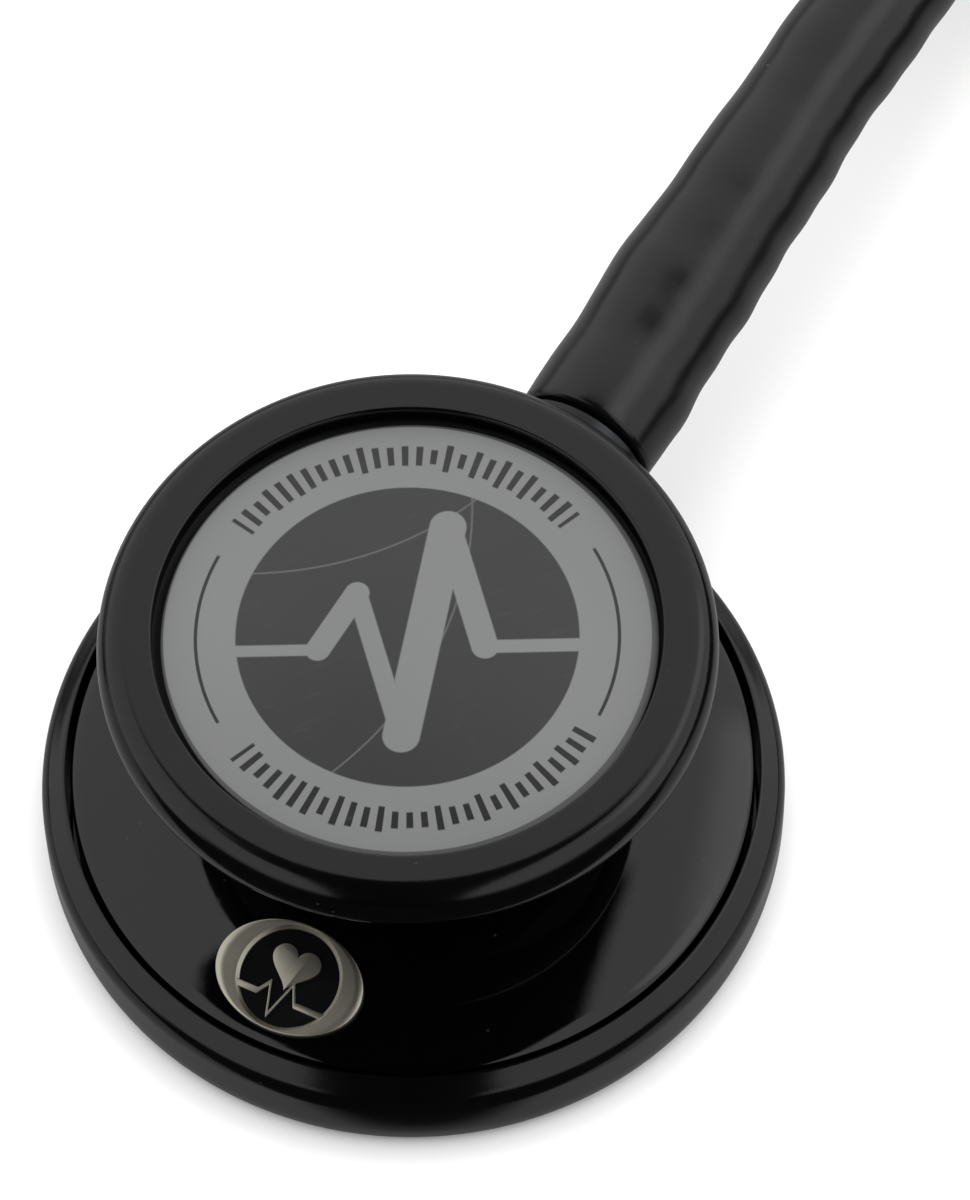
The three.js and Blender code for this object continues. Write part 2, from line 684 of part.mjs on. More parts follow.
// The threaded ferrule fixed on an ear tube's end.
function ferrule() {
  const outline = [
    [socketR, -FERRULE_LENGTH],
    [ferruleR - 0.3, -FERRULE_LENGTH],
    [ferruleR, -FERRULE_LENGTH + 0.5],
    [ferruleR, -0.4],
    [ferruleR - 0.3, 0],
    [socketR, 0],
  ];
  return turned(outline, SMALL_SEGMENTS);
}

// The soft ear tip: a hollow olive that covers the ferrule's front half.
function earTip() {
  const skirt = -FERRULE_LENGTH / 2;
  const tipEnd = skirt + EAR_TIP_LENGTH;
  return turned([
    [earTipSocketR, skirt],
    [earTipSocketR + 0.5, skirt - 0.2],
    [earTipR - 0.5, skirt + 2],
    [earTipR, skirt + 4.4],
    [earTipR - 0.3, skirt + 6.8],
    [earTipR - 1.4, skirt + 9.4],
    [earTipR - 2.9, skirt + 12],
    [earTipR - 3.8, tipEnd - 0.5],
    [EAR_TIP_HOLE_R + 0.3, tipEnd],
    [EAR_TIP_HOLE_R, tipEnd - 0.3],
    [EAR_TIP_HOLE_R, GAP + 1],
    [earTipSocketR, GAP + 0.4],
  ], SMALL_SEGMENTS);
}

function headset() {
  const group = new THREE.Group();
  group.position.set(HEADSET_X, HEADSET_Y, forkR);
  group.rotation.z = Math.PI;
  group.add(part("fork", fork(), hoseBlack), part("headset_spring", springWire(SPRING_WIRE_R), bareSteel));
  for (const [word, side] of [["left", 1], ["right", -1]]) {
    group.add(
      part(`arm_${word}`, arm(side), hoseBlack),
      part(`ear_tube_${word}`, swept(earTubeCurve(side), EAR_TUBE_R, 10, 24, EAR_TUBE_BORE_R), smokeSteel),
      onTubeEnd(part(`ear_tip_ferrule_${word}`, ferrule(), smokeSteel), side),
      onTubeEnd(part(`ear_tip_${word}`, earTip(), earTipGrey), side),
    );
  }
  return group;
}

// ---- Assembly -----------------------------------------------------------------------------------

const stethoscope = new THREE.Group();
const hose = swept(curveThrough(HOSE_ROUTE), HOSE_R, HOSE_SIDES, HOSE_STEPS);
stethoscope.add(chestpiece(), detent(), stemAssembly(), part("hose", hose, hoseBlack), headset());

export default stethoscope;
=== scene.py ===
"""The looks of a dual-sided acoustic stethoscope laid down for storage.

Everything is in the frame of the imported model: metres, +Z up, the chestpiece's axis on Z and the
hose leaving along +Y. Sizes are written in millimetres in each class and turned into metres as a
shape is made.
"""

import logging
import math
from collections.abc import Callable, Iterable
from dataclasses import dataclass
from enum import Enum
from functools import reduce

import bmesh
import bpy
from mathutils import Matrix, Vector

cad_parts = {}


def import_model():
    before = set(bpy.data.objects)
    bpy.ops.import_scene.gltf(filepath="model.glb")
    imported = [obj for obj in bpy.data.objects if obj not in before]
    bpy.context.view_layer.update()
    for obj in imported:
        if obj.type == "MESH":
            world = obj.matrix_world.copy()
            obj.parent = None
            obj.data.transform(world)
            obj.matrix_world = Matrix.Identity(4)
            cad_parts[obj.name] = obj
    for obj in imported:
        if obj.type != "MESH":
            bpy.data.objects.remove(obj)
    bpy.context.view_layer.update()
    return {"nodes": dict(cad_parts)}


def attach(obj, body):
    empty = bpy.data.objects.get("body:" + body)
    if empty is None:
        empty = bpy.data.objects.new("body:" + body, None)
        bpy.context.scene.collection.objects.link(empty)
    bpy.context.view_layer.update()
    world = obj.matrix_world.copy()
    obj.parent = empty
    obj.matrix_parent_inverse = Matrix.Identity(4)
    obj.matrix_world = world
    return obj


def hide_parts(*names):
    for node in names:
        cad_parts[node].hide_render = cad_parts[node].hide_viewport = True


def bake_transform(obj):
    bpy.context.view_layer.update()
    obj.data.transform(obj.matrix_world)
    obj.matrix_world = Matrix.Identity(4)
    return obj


LOG = logging.getLogger("stethoscope")
MM = 0.001
UP = Vector((0.0, 0.0, 1.0))
STEM_HEIGHT = 14.3  # of the stem's axis above the floor, in millimetres
MERGE = 1e-7  # corners closer than this many metres are one

Station = tuple[float, float]
Point = tuple[float, float, float]


# ---- Modelling ----------------------------------------------------------------------------------


class End(Enum):
    """How the first or last ring of a turned shape is finished."""

    POLE = "pole"
    OPEN = "open"


def arc(centre: Station, radii: Station, start: float, stop: float, steps: int) -> list[Station]:
    """Points of an elliptical arc in a turned shape's profile.

    Args:
        centre: Radius and height of the arc's centre.
        radii: The arc's half width and half height.
        start: First angle in degrees, from the radial direction.
        stop: Last angle in degrees.
        steps: Straight steps between the two.

    Returns:
        The points, both ends included.
    """
    angles = [math.radians(start + (stop - start) * i / steps) for i in range(steps + 1)]
    return [(centre[0] + radii[0] * math.cos(a), centre[1] + radii[1] * math.sin(a)) for a in angles]


def smooth_route(points: Iterable[Point], spacing: float) -> list[Vector]:
    """Draws one smooth curve through points and walks along it in even steps.

    Args:
        points: The points it passes through, in millimetres.
        spacing: Length of a step in millimetres.

    Returns:
        Points along the curve in metres, both ends included.
    """
    knots = [Vector(p) for p in points]
    knots = [2 * knots[0] - knots[1], *knots, 2 * knots[-1] - knots[-2]]
    fine = [knots[1]]
    for a, b, c, d in zip(knots, knots[1:], knots[2:], knots[3:]):
        before, across, after = ((q - p).length ** 0.5 for p, q in ((a, b), (b, c), (c, d)))
        leave = ((b - a) / before - (c - a) / (before + across) + (c - b) / across) * across
        arrive = ((c - b) / across - (d - b) / (across + after) + (d - c) / after) * across
        steps = max(8, round((c - b).length / spacing * 4))
        for i in range(1, steps + 1):
            t = i / steps
            fine.append(
                (2 * t**3 - 3 * t**2 + 1) * b
                + (t**3 - 2 * t**2 + t) * leave
                + (3 * t**2 - 2 * t**3) * c
                + (t**3 - t**2) * arrive
            )
    total = sum((q - p).length for p, q in zip(fine, fine[1:]))
    count = max(2, round(total / spacing))
    walked, done, i = [fine[0]], 0.0, 1
    for k in range(1, count):
        goal = total * k / count
        while done + (fine[i] - fine[i - 1]).length < goal:
            done += (fine[i] - fine[i - 1]).length
            i += 1
        step = fine[i] - fine[i - 1]
        walked.append(fine[i - 1] + step * ((goal - done) / step.length))
    walked.append(fine[-1])
    return [p * MM for p in walked]


class Bench:
    """The modelling moves that the builders share."""

    @staticmethod
    def clear() -> None:
        """Leaves edit mode and selects nothing."""
        if bpy.context.mode != "OBJECT":
            bpy.ops.object.mode_set(mode="OBJECT")
        bpy.ops.object.select_all(action="DESELECT")

    @staticmethod
    def pick(obj: bpy.types.Object) -> None:
        """Selects one object and makes it the active one."""
        Bench.clear()
        obj.select_set(True)
        bpy.context.view_layer.objects.active = obj

    @staticmethod
    def settle(obj: bpy.types.Object) -> None:
        """Moves an object's place, turn and scale into its mesh."""
        Bench.pick(obj)
        bpy.ops.object.transform_apply(location=True, rotation=True, scale=True)

    @staticmethod
    def smooth(obj: bpy.types.Object, angle: float = 32.0) -> None:
        """Shades an object smooth, with edges sharper than the angle in degrees kept crisp."""
        Bench.pick(obj)
        bpy.ops.object.shade_smooth_by_angle(angle=math.radians(angle))

    @staticmethod
    def apply(obj: bpy.types.Object, kind: str, **settings: object) -> None:
        """Adds a modifier with its settings and applies it.

        Args:
            obj: The object it works on.
            kind: The modifier's type.
            settings: Its properties, by name.
        """
        Bench.pick(obj)
        modifier = obj.modifiers.new(kind.title(), kind)
        for key, value in settings.items():
            setattr(modifier, key, value)
        bpy.ops.object.modifier_apply(modifier=modifier.name)

    @staticmethod
    def turned(
        name: str,
        stations: list[Station],
        segments: int = 128,
        ends: End = End.OPEN,
        angle: float = 32.0,
    ) -> bpy.types.Object:
        """Makes a turned shape about Z from one ring that is extruded and resized along a profile.

        Args:
            name: The object's name.
            stations: Radius and height of each ring in millimetres.
            segments: Sides of each ring.
            ends: POLE closes both ends on the axis; OPEN joins the last ring to the first.
            angle: Edges sharper than this many degrees stay crisp.

        Returns:
            The closed mesh object.
        """
        Bench.clear()
        radius, height = stations[0]
        bpy.ops.mesh.primitive_circle_add(
            vertices=segments, radius=radius * MM, location=(0, 0, height * MM), fill_type="NOTHING"
        )
        obj = bpy.context.object
        obj.name = obj.data.name = name
        bpy.ops.object.transform_apply(location=True)
        bpy.ops.object.mode_set(mode="EDIT")
        bpy.ops.mesh.select_mode(type="EDGE")
        bpy.ops.mesh.select_all(action="SELECT")
        for next_radius, next_height in stations[1:]:
            bpy.ops.mesh.extrude_edges_move(
                TRANSFORM_OT_translate={"value": (0, 0, (next_height - height) * MM)}
            )
            scale = next_radius / radius
            bpy.ops.transform.resize(
                value=(scale, scale, 1), center_override=(0, 0, next_height * MM)
            )
            radius, height = next_radius, next_height
        if ends is End.OPEN:
            bpy.ops.mesh.select_all(action="DESELECT")
            bpy.ops.mesh.select_non_manifold()
            bpy.ops.mesh.bridge_edge_loops()
        else:
            bpy.ops.mesh.extrude_edges_move()
            bpy.ops.mesh.merge(type="CENTER")
            bpy.ops.mesh.select_mode(type="EDGE")
            bpy.ops.mesh.select_all(action="DESELECT")
            bpy.ops.mesh.select_non_manifold()
            bpy.ops.mesh.extrude_edges_move()
            bpy.ops.mesh.merge(type="CENTER")
        bpy.ops.mesh.select_mode(type="VERT")
        bpy.ops.mesh.select_all(action="SELECT")
        bpy.ops.mesh.remove_doubles(threshold=MERGE)
        bpy.ops.mesh.normals_make_consistent(inside=False)
        bpy.ops.object.mode_set(mode="OBJECT")
        Bench.smooth(obj, angle)
        return obj

    @staticmethod
    def plate(name: str, outline: list[Station], thickness: float, bevel: float) -> bpy.types.Object:
        """Makes a flat plate on z = 0 from one corner that is extruded round its outline.

        Args:
            name: The object's name.
            outline: The corners in millimetres, anticlockwise.
            thickness: The plate's height in millimetres.
            bevel: Width of the rounding on its edges in millimetres.

        Returns:
            The closed mesh object.
        """
        Bench.clear()
        x, y = outline[0]
        bpy.ops.mesh.primitive_plane_add(size=MM, location=(x * MM, y * MM, 0))
        obj = bpy.context.object
        obj.name = obj.data.name = name
        bpy.ops.object.transform_apply(location=True)
        bpy.ops.object.mode_set(mode="EDIT")
        bpy.ops.mesh.select_mode(type="VERT")
        bpy.ops.mesh.select_all(action="SELECT")
        bpy.ops.mesh.merge(type="CENTER")
        for next_x, next_y in outline[1:]:
            bpy.ops.mesh.extrude_vertices_move(
                TRANSFORM_OT_translate={"value": ((next_x - x) * MM, (next_y - y) * MM, 0)}
            )
            x, y = next_x, next_y
        bpy.ops.mesh.select_all(action="SELECT")
        bpy.ops.mesh.edge_face_add()
        bpy.ops.mesh.extrude_region_move(
            TRANSFORM_OT_translate={"value": (0, 0, thickness * MM)}
        )
        bpy.ops.mesh.select_all(action="SELECT")
        bpy.ops.mesh.normals_make_consistent(inside=False)
        bpy.ops.object.mode_set(mode="OBJECT")
        Bench.apply(
            obj, "BEVEL", width=bevel * MM, segments=3, limit_method="ANGLE", angle_limit=math.radians(50)
        )
        Bench.smooth(obj, 40)
        return obj

    @staticmethod
    def swept(
        name: str, route: list[Vector], radius: float, sides: int = 24, angle: float = 40.0
    ) -> bpy.types.Object:
        """Makes a round wire or tube along a route, from a curve turned into a mesh.

        Args:
            name: The object's name.
            route: Points along it in metres.
            radius: Its radius in millimetres.
            sides: Sides of its section.
            angle: Edges sharper than this many degrees stay crisp.

        Returns:
            The closed mesh object.
        """
        Bench.clear()
        bpy.ops.curve.primitive_nurbs_path_add()
        obj = bpy.context.object
        obj.name = obj.data.name = name
        curve = obj.data
        curve.splines.clear()
        line = curve.splines.new("POLY")
        line.points.add(len(route) - 1)
        for point, place in zip(line.points, route):
            point.co = (*place, 1)
        curve.twist_mode = "MINIMUM"
        curve.bevel_depth = radius * MM
        curve.bevel_resolution = sides // 2 - 2
        curve.use_fill_caps = True
        bpy.ops.object.convert(target="MESH")
        obj = bpy.context.object
        bpy.ops.object.mode_set(mode="EDIT")
        bpy.ops.mesh.select_all(action="SELECT")
        bpy.ops.mesh.remove_doubles(threshold=MERGE)
        bpy.ops.mesh.normals_make_consistent(inside=False)
        bpy.ops.object.mode_set(mode="OBJECT")
        Bench.smooth(obj, angle)
        return obj

    @staticmethod
    def place(obj: bpy.types.Object, at: Vector, along: Vector) -> bpy.types.Object:
        """Points a shape made about Z along a direction, and puts its origin at a place in metres.

        Args:
            obj: The shape.
            at: The place.
            along: The direction.

        Returns:
            The same object, with its place in its mesh.
        """
        obj.rotation_mode = "QUATERNION"
        obj.rotation_quaternion = UP.rotation_difference(along)
        obj.location = at
        Bench.settle(obj)
        return obj

    @staticmethod
    def boolean(obj: bpy.types.Object, tool: bpy.types.Object, operation: str) -> None:
        """Joins a tool's solid to an object, or cuts it out, and removes the tool."""
        Bench.apply(obj, "BOOLEAN", operation=operation, object=tool, solver="EXACT")
        bpy.data.objects.remove(tool)


def lofted(
    name: str,
    route: list[Vector],
    stations: list[Station],
    sides: int,
    swell: Callable[[float, float], float],
) -> bpy.types.Object:
    """Makes a flexible tube that follows a route, with UVs along and round it.

    Args:
        name: The object's name.
        route: Evenly spaced points of its centreline in metres.
        stations: Distance along the route and radius of each ring in millimetres. The first and
            the last have no radius and close the ends.
        sides: Sides of each ring.
        swell: Gives what is added to the radius in millimetres at a distance and an angle.

    Returns:
        The closed mesh object.
    """
    ahead = [(q - p).normalized() for p, q in zip(route, route[1:])]
    ahead.append(ahead[-1])
    sideways = [ahead[0].cross(UP).normalized()]
    for way in ahead[1:]:
        sideways.append((sideways[-1] - way * sideways[-1].dot(way)).normalized())
    spacing = sum((q - p).length for p, q in zip(route, route[1:])) / (len(route) - 1) / MM
    mesh = bmesh.new()
    uv = mesh.loops.layers.uv.new("UVMap")
    rings: list[list[bmesh.types.BMVert]] = []
    for distance, radius in stations:
        at = min(max(distance / spacing, 0.0), len(route) - 1.001)
        i, t = int(at), at - int(at)
        centre = route[i].lerp(route[i + 1], t)
        way = ahead[i].lerp(ahead[i + 1], t).normalized()
        side = sideways[i].lerp(sideways[i + 1], t)
        side = (side - way * side.dot(way)).normalized()
        top = side.cross(way)
        if radius == 0:
            rings.append([mesh.verts.new(centre)])
            continue
        ring = []
        for k in range(sides):
            turn = 2 * math.pi * k / sides
            reach = (radius + swell(distance, turn)) * MM
            ring.append(mesh.verts.new(centre + (side * math.cos(turn) + top * math.sin(turn)) * reach))
        rings.append(ring)
    for (distance, _), (onward, _), ring, following in zip(stations, stations[1:], rings, rings[1:]):
        for k in range(sides):
            n = (k + 1) % sides
            loop = [(ring, k, distance, k), (ring, n, distance, k + 1)]
            loop += [(following, n, onward, k + 1), (following, k, onward, k)]
            corners = []
            for verts, index, along, column in loop:
                vert = verts[index % len(verts)]
                if all(vert is not seen for seen, _ in corners):
                    corners.append((vert, (column / sides, along * MM)))
            face = mesh.faces.new([vert for vert, _ in corners])
            face.smooth = True
            for corner, (_, place) in zip(face.loops, corners):
                corner[uv].uv = place
    bmesh.ops.recalc_face_normals(mesh, faces=mesh.faces)
    data = bpy.data.meshes.new(name)
    mesh.to_mesh(data)
    mesh.free()
    obj = bpy.data.objects.new(name, data)
    bpy.context.collection.objects.link(obj)
    Bench.smooth(obj, 40)
    return obj


# ---- Shader expressions -------------------------------------------------------------------------


class Value:
    """A node's output that takes part in arithmetic."""

    def __init__(self, tree: "Tree", socket: bpy.types.NodeSocket) -> None:
        """Wraps one output socket of a tree."""
        self.tree = tree
        self.socket = socket

    def math(self, operation: str, *others: "Value | float", first: int = 0) -> "Value":
        """Adds a Math node with this value in the given input and the others in the rest.

        Args:
            operation: What the node works out.
            others: The other inputs.
            first: The input that this value goes into.

        Returns:
            The result.
        """
        inputs: list[Value | float] = list(others)
        inputs.insert(first, self)
        return self.tree.node("ShaderNodeMath", {"operation": operation}, dict(enumerate(inputs)))

    def __add__(self, other: "Value | float") -> "Value":
        """Adds a number or a value."""
        return self.math("ADD", other)

    def __radd__(self, other: float) -> "Value":
        """Adds to a number."""
        return self.math("ADD", other)

    def __sub__(self, other: "Value | float") -> "Value":
        """Takes a number or a value away."""
        return self.math("SUBTRACT", other)

    def __rsub__(self, other: float) -> "Value":
        """Takes this away from a number."""
        return self.math("SUBTRACT", other, first=1)

    def __mul__(self, other: "Value | float") -> "Value":
        """Multiplies by a number or a value."""
        return self.math("MULTIPLY", other)

    def __rmul__(self, other: float) -> "Value":
        """Multiplies a number."""
        return self.math("MULTIPLY", other)

    def __truediv__(self, other: "Value | float") -> "Value":
        """Divides by a number or a value."""
        return self.math("DIVIDE", other)

    def __pow__(self, other: float) -> "Value":
        """Raises to a power."""
        return self.math("POWER", other)

    def __abs__(self) -> "Value":
        """The size without its sign."""
        return self.math("ABSOLUTE")

    def least(self, other: "Value | float") -> "Value":
        """The smaller of two."""
        return self.math("MINIMUM", other)

    def most(self, other: "Value | float") -> "Value":
        """The larger of two."""
        return self.math("MAXIMUM", other)

    def rise(self, low: float, high: float) -> "Value":
        """Goes smoothly from 0 at low to 1 at high."""
        inputs = {"Value": self, "From Min": low, "From Max": high}
        return self.tree.node("ShaderNodeMapRange", {"interpolation_type": "SMOOTHSTEP"}, inputs)

    def fall(self, low: float, high: float) -> "Value":
        """Goes smoothly from 1 at low to 0 at high."""
        return 1 - self.rise(low, high)

    def band(self, low: float, high: float, soft: float) -> "Value":
        """1 between low and high, with soft edges that wide."""
        return self.rise(low - soft, low) * self.fall(high, high + soft)


class Tree:
    """A node tree with the patterns that are worked out in it."""

    def __init__(self, graph: bpy.types.NodeTree) -> None:
        """Wraps a material's or a world's own tree."""
        self.graph = graph

    def node(
        self,
        kind: str,
        settings: dict[str, object] | None = None,
        inputs: "dict[str | int, Value | float | tuple] | None" = None,
        output: str | int = 0,
    ) -> Value:
        """Adds one node.

        Args:
            kind: The node's type.
            settings: Its settings. "stops" holds a ramp's places and colours.
            inputs: Values or links of its sockets, by name or number.
            output: The socket that is given back.

        Returns:
            The wrapped output.
        """
        made = self.graph.nodes.new(kind)
        for key, value in (settings or {}).items():
            if key != "stops":
                setattr(made, key, value)
                continue
            while len(made.color_ramp.elements) < len(value):
                made.color_ramp.elements.new(1)
            for element, (place, colour) in zip(made.color_ramp.elements, value):
                element.position, element.color = place, colour
        for key, value in (inputs or {}).items():
            if isinstance(value, Value):
                self.graph.links.new(value.socket, made.inputs[key])
            else:
                made.inputs[key].default_value = value
        return Value(self, made.outputs[output])

    def place(self, turn: float = 0.0, squeeze: Point | None = None) -> Value:
        """Object coordinates, turned about Z by radians, and stretched.

        Args:
            turn: The turn.
            squeeze: How many times finer the pattern is along each axis.

        Returns:
            The coordinates as a vector.
        """
        turned = self.node(
            "ShaderNodeMapping",
            {"vector_type": "TEXTURE"},
            {"Vector": self.node("ShaderNodeTexCoord", output="Object"), "Rotation": (0, 0, turn)},
        )
        if squeeze is None:
            return turned
        return self.node("ShaderNodeMapping", inputs={"Vector": turned, "Scale": squeeze})

    def axes(self, vector: Value) -> tuple[Value, Value, Value]:
        """The three parts of a vector."""
        split = self.node("ShaderNodeSeparateXYZ", inputs={"Vector": vector})
        return tuple(Value(self, part) for part in split.socket.node.outputs)

    def noise(self, scale: float, detail: float = 3.0, vector: Value | None = None) -> Value:
        """Soft noise from 0 to 1, with a scale in cells per metre."""
        inputs = {"Vector": vector or self.place(), "Scale": scale, "Detail": detail, "Roughness": 0.55}
        return self.node("ShaderNodeTexNoise", inputs=inputs)

    def specks(self, scale: float, size: float) -> Value:
        """A few small round specks, as dust on a surface.

        Args:
            scale: Cells per metre.
            size: Radius of a speck in cells.

        Returns:
            1 on a speck and 0 off it.
        """
        cells = self.node(
            "ShaderNodeTexVoronoi", inputs={"Vector": self.place(), "Scale": scale}, output="Distance"
        )
        rare = self.noise(scale * 0.37, 1.0).rise(0.6, 0.72)
        return cells.fall(size * 0.5, size) * rare

    def blend(self, factor: Value | float, first: tuple | Value, second: tuple | Value) -> Value:
        """Mixes two colours."""
        return self.node(
            "ShaderNodeMix", {"data_type": "RGBA"}, {0: factor, 6: first, 7: second}, output=2
        )


class Paint(Tree):
    """One material, with its tree and its shader."""

    def __init__(self, name: str, **constants: object) -> None:
        """Makes the material, with constants on its shader's own sockets.

        Args:
            name: The material's name.
            constants: Values of the sockets, by name with underscores for spaces.
        """
        self.material = bpy.data.materials.new(name)
        self.material.use_nodes = True
        super().__init__(self.material.node_tree)
        self.shader = self.graph.nodes["Principled BSDF"]
        for key, value in constants.items():
            self.shader.inputs[key.replace("_", " ")].default_value = value

    def feed(self, name: str, value: Value) -> None:
        """Links a value to one of the shader's sockets."""
        self.graph.links.new(value.socket, self.shader.inputs[name])

    def bump(self, height: Value, distance: float, strength: float = 1.0) -> None:
        """Raises the surface by a height map, over a distance in millimetres."""
        inputs = {"Strength": strength, "Distance": distance * MM, "Height": height}
        self.feed("Normal", self.node("ShaderNodeBump", inputs=inputs))


def grey(level: float, warmth: float = 0.0) -> tuple[float, float, float, float]:
    """A grey of that linear level, a little warm or cold."""
    return (level * (1 + warmth), level, level * (1 - warmth), 1.0)


# ---- Finishes -----------------------------------------------------------------------------------


@dataclass(frozen=True)
class Lacquer:
    """Polished black lacquer, with faint smudges and a few specks of dust."""

    name: str = "gloss_black"
    base: float = 0.0007
    rough: float = 0.045
    smudge: float = 0.06

    def material(self) -> bpy.types.Material:
        """Builds the material.

        Returns:
            The finish, ready to be given to a piece.
        """
        paint = Paint(self.name)
        smudges = paint.noise(170, 4).rise(0.42, 0.75)
        dust = paint.specks(900, 0.12)
        hairlines = paint.noise(90, 2, paint.place(turn=0.6, squeeze=(1, 26, 1))).rise(0.66, 0.72)
        paint.feed("Base Color", paint.blend(dust * 0.12, grey(self.base, -0.03), grey(0.16)))
        paint.feed("Roughness", self.rough + smudges * self.smudge + hairlines * 0.04 + dust * 0.3)
        paint.bump(paint.noise(1100, 2) + dust * 2, 0.004, 0.35)
        return paint.material


@dataclass(frozen=True)
class Rim:
    """Smooth moulded rim material, glossy black with a very fine grain."""

    name: str = "rim_rubber"
    base: float = 0.0012
    rough: float = 0.13

    def material(self) -> bpy.types.Material:
        """Builds the material.

        Returns:
            The finish, ready to be given to a piece.
        """
        paint = Paint(self.name, Specular_IOR_Level=0.42)
        cloud = paint.noise(140, 4)
        grain = paint.noise(5200, 2)
        dust = paint.specks(1100, 0.14)
        tone = paint.blend(cloud, grey(self.base * 0.7, -0.04), grey(self.base * 1.5, -0.02))
        paint.feed("Base Color", paint.blend(dust * 0.1, tone, grey(0.14)))
        paint.feed("Roughness", self.rough + (cloud - 0.5) * 0.1 + grain * 0.05 + dust * 0.3)
        paint.bump(grain + cloud * 2, 0.004, 0.4)
        return paint.material


class Print(Enum):
    """What is printed on a diaphragm."""

    EMBLEM = "emblem"
    SCALE = "scale"


@dataclass(frozen=True)
class PrintedFace:
    """A matt diaphragm with a printed ring, marks and a generic pulse motif.

    The marks are plain strokes that stand for no letter.
    """

    name: str
    kind: Print
    radius: float
    turn: float
    ring: float = 0.14
    ground: float = 0.02
    ink: float = 0.012
    edge: float = 0.004  # how softly a printed edge ends, in disc radii
    inner: float = 0.69  # where the pale ring starts
    marks_at: float = 0.84  # middle of the rows of marks
    arcs_at: float = 0.85  # radius of the two thin arcs at the sides
    bevel_at: float = 0.98  # where the disc's dark edge starts

    def strokes(self, x: Value, y: Value) -> Value:
        """The pulse line: a thick stroke from corner to corner.

        Args:
            x: Place across the disc, in disc radii.
            y: Place up the disc, in disc radii.

        Returns:
            1 on the stroke and 0 off it.
        """
        corners = [(-0.8, -0.06), (-0.36, -0.06), (-0.2, 0.2), (-0.03, -0.46), (0.17, 0.5)]
        corners += [(0.31, -0.06), (0.8, -0.06)]
        widths = [0.026, 0.05, 0.04, 0.075, 0.055, 0.03]
        edges = []
        for (ax, ay), (bx, by), width in zip(corners, corners[1:], widths):
            dx, dy = bx - ax, by - ay
            along = ((x - ax) * dx + (y - ay) * dy) / (dx * dx + dy * dy)
            along = along.most(0.0).least(1.0)
            off = (x - ax - along * dx) ** 2 + (y - ay - along * dy) ** 2
            edges.append(off.math("SQRT") - width)
        return reduce(Value.least, edges).fall(-self.edge, self.edge)

    def hairline(self, x: Value, y: Value, centre: Station, radius: float, width: float) -> Value:
        """A thin arc of a large circle, in disc radii."""
        away = ((x - centre[0]) ** 2 + (y - centre[1]) ** 2).math("SQRT")
        return abs(away - radius).fall(width * 0.4, width)

    def marks(self, angle: Value, out: Value, count: int, middle: float, low: float, high: float) -> Value:
        """A row of short upright strokes of uneven length, between two angles in degrees.

        Args:
            angle: Angle round the disc in degrees.
            out: Distance from the disc's centre in disc radii.
            count: How many strokes a full turn would hold.
            middle: The row's middle radius.
            low: First angle.
            high: Last angle.

        Returns:
            1 on a stroke and 0 off it.
        """
        cell = angle * (count / 360)
        whole = cell.math("FLOOR")
        within = abs(cell - whole - 0.5)
        hashed = angle.tree.node("ShaderNodeTexWhiteNoise", {"noise_dimensions": "1D"}, {"W": whole})
        length = 0.034 + hashed * 0.036
        tall = (length - abs(out - middle)).rise(-self.edge, self.edge)
        return within.fall(0.2, 0.26) * tall * angle.band(low, high, 0.5)

    def material(self) -> bpy.types.Material:
        """Builds the material.

        Returns:
            The finish, ready to be given to a piece.
        """
        paint = Paint(self.name)
        x, y, _ = paint.axes(paint.place(turn=self.turn, squeeze=(1 / (self.radius * MM),) * 3))
        out = (x * x + y * y).math("SQRT")
        angle = y.math("ARCTAN2", x) * (180 / math.pi)
        fine = self.edge
        ring = out.rise(self.inner - fine, self.inner + fine)
        bevel = out.rise(self.bevel_at - fine / 2, self.bevel_at + fine / 2)
        side = abs(angle)
        flank = side.fall(26.5, 27.5).most(side.rise(152.5, 153.5))
        arcs = abs(out - self.arcs_at).fall(0.005, 0.009) * flank
        if self.kind is Print.EMBLEM:
            light = ring.most(self.strokes(x, y))
            hair = self.hairline(x, y, (-0.62, 1.72), 1.42, 0.006)
            hair = hair.most(self.hairline(x, y, (-1.35, 0.62), 1.62, 0.006)) * 0.55
            rows = self.marks(angle, out, 90, self.marks_at, 38, 142)
            rows = rows.most(self.marks(angle, out, 90, self.marks_at, -142, -32))
        else:
            light = out.band(0.7, 0.93, fine)
            hair = out.band(0.3, 0.306, fine)
            rows = self.marks(angle, out, 180, 0.82, -180, 180)
            arcs = out.band(0.62, 0.63, fine)
        dark = rows.most(arcs)
        cloud = paint.noise(60, 3)
        shade = paint.blend(cloud, grey(self.ground * 0.9, -0.015), grey(self.ground * 1.25, -0.015))
        shade = paint.blend(hair, shade, grey(self.ring * 0.7))
        pale = paint.blend(cloud, grey(self.ring * 0.9, -0.012), grey(self.ring * 1.08, -0.012))
        shade = paint.blend(light, shade, pale)
        shade = paint.blend(dark, shade, grey(self.ink))
        shade = paint.blend(bevel, shade, grey(0.05))
        scuffs = paint.noise(420, 4, paint.place(turn=0.9, squeeze=(1, 9, 1))).rise(0.6, 0.78)
        paint.feed("Base Color", paint.blend(scuffs * 0.04, shade, grey(0.3)))
        paint.feed("Roughness", 0.36 + cloud * 0.1 - light * 0.05 + scuffs * 0.1)
        paint.bump(light * 0.8 - dark * 0.8 + paint.noise(3800, 2) * 0.25, 0.012, 0.5)
        return paint.material


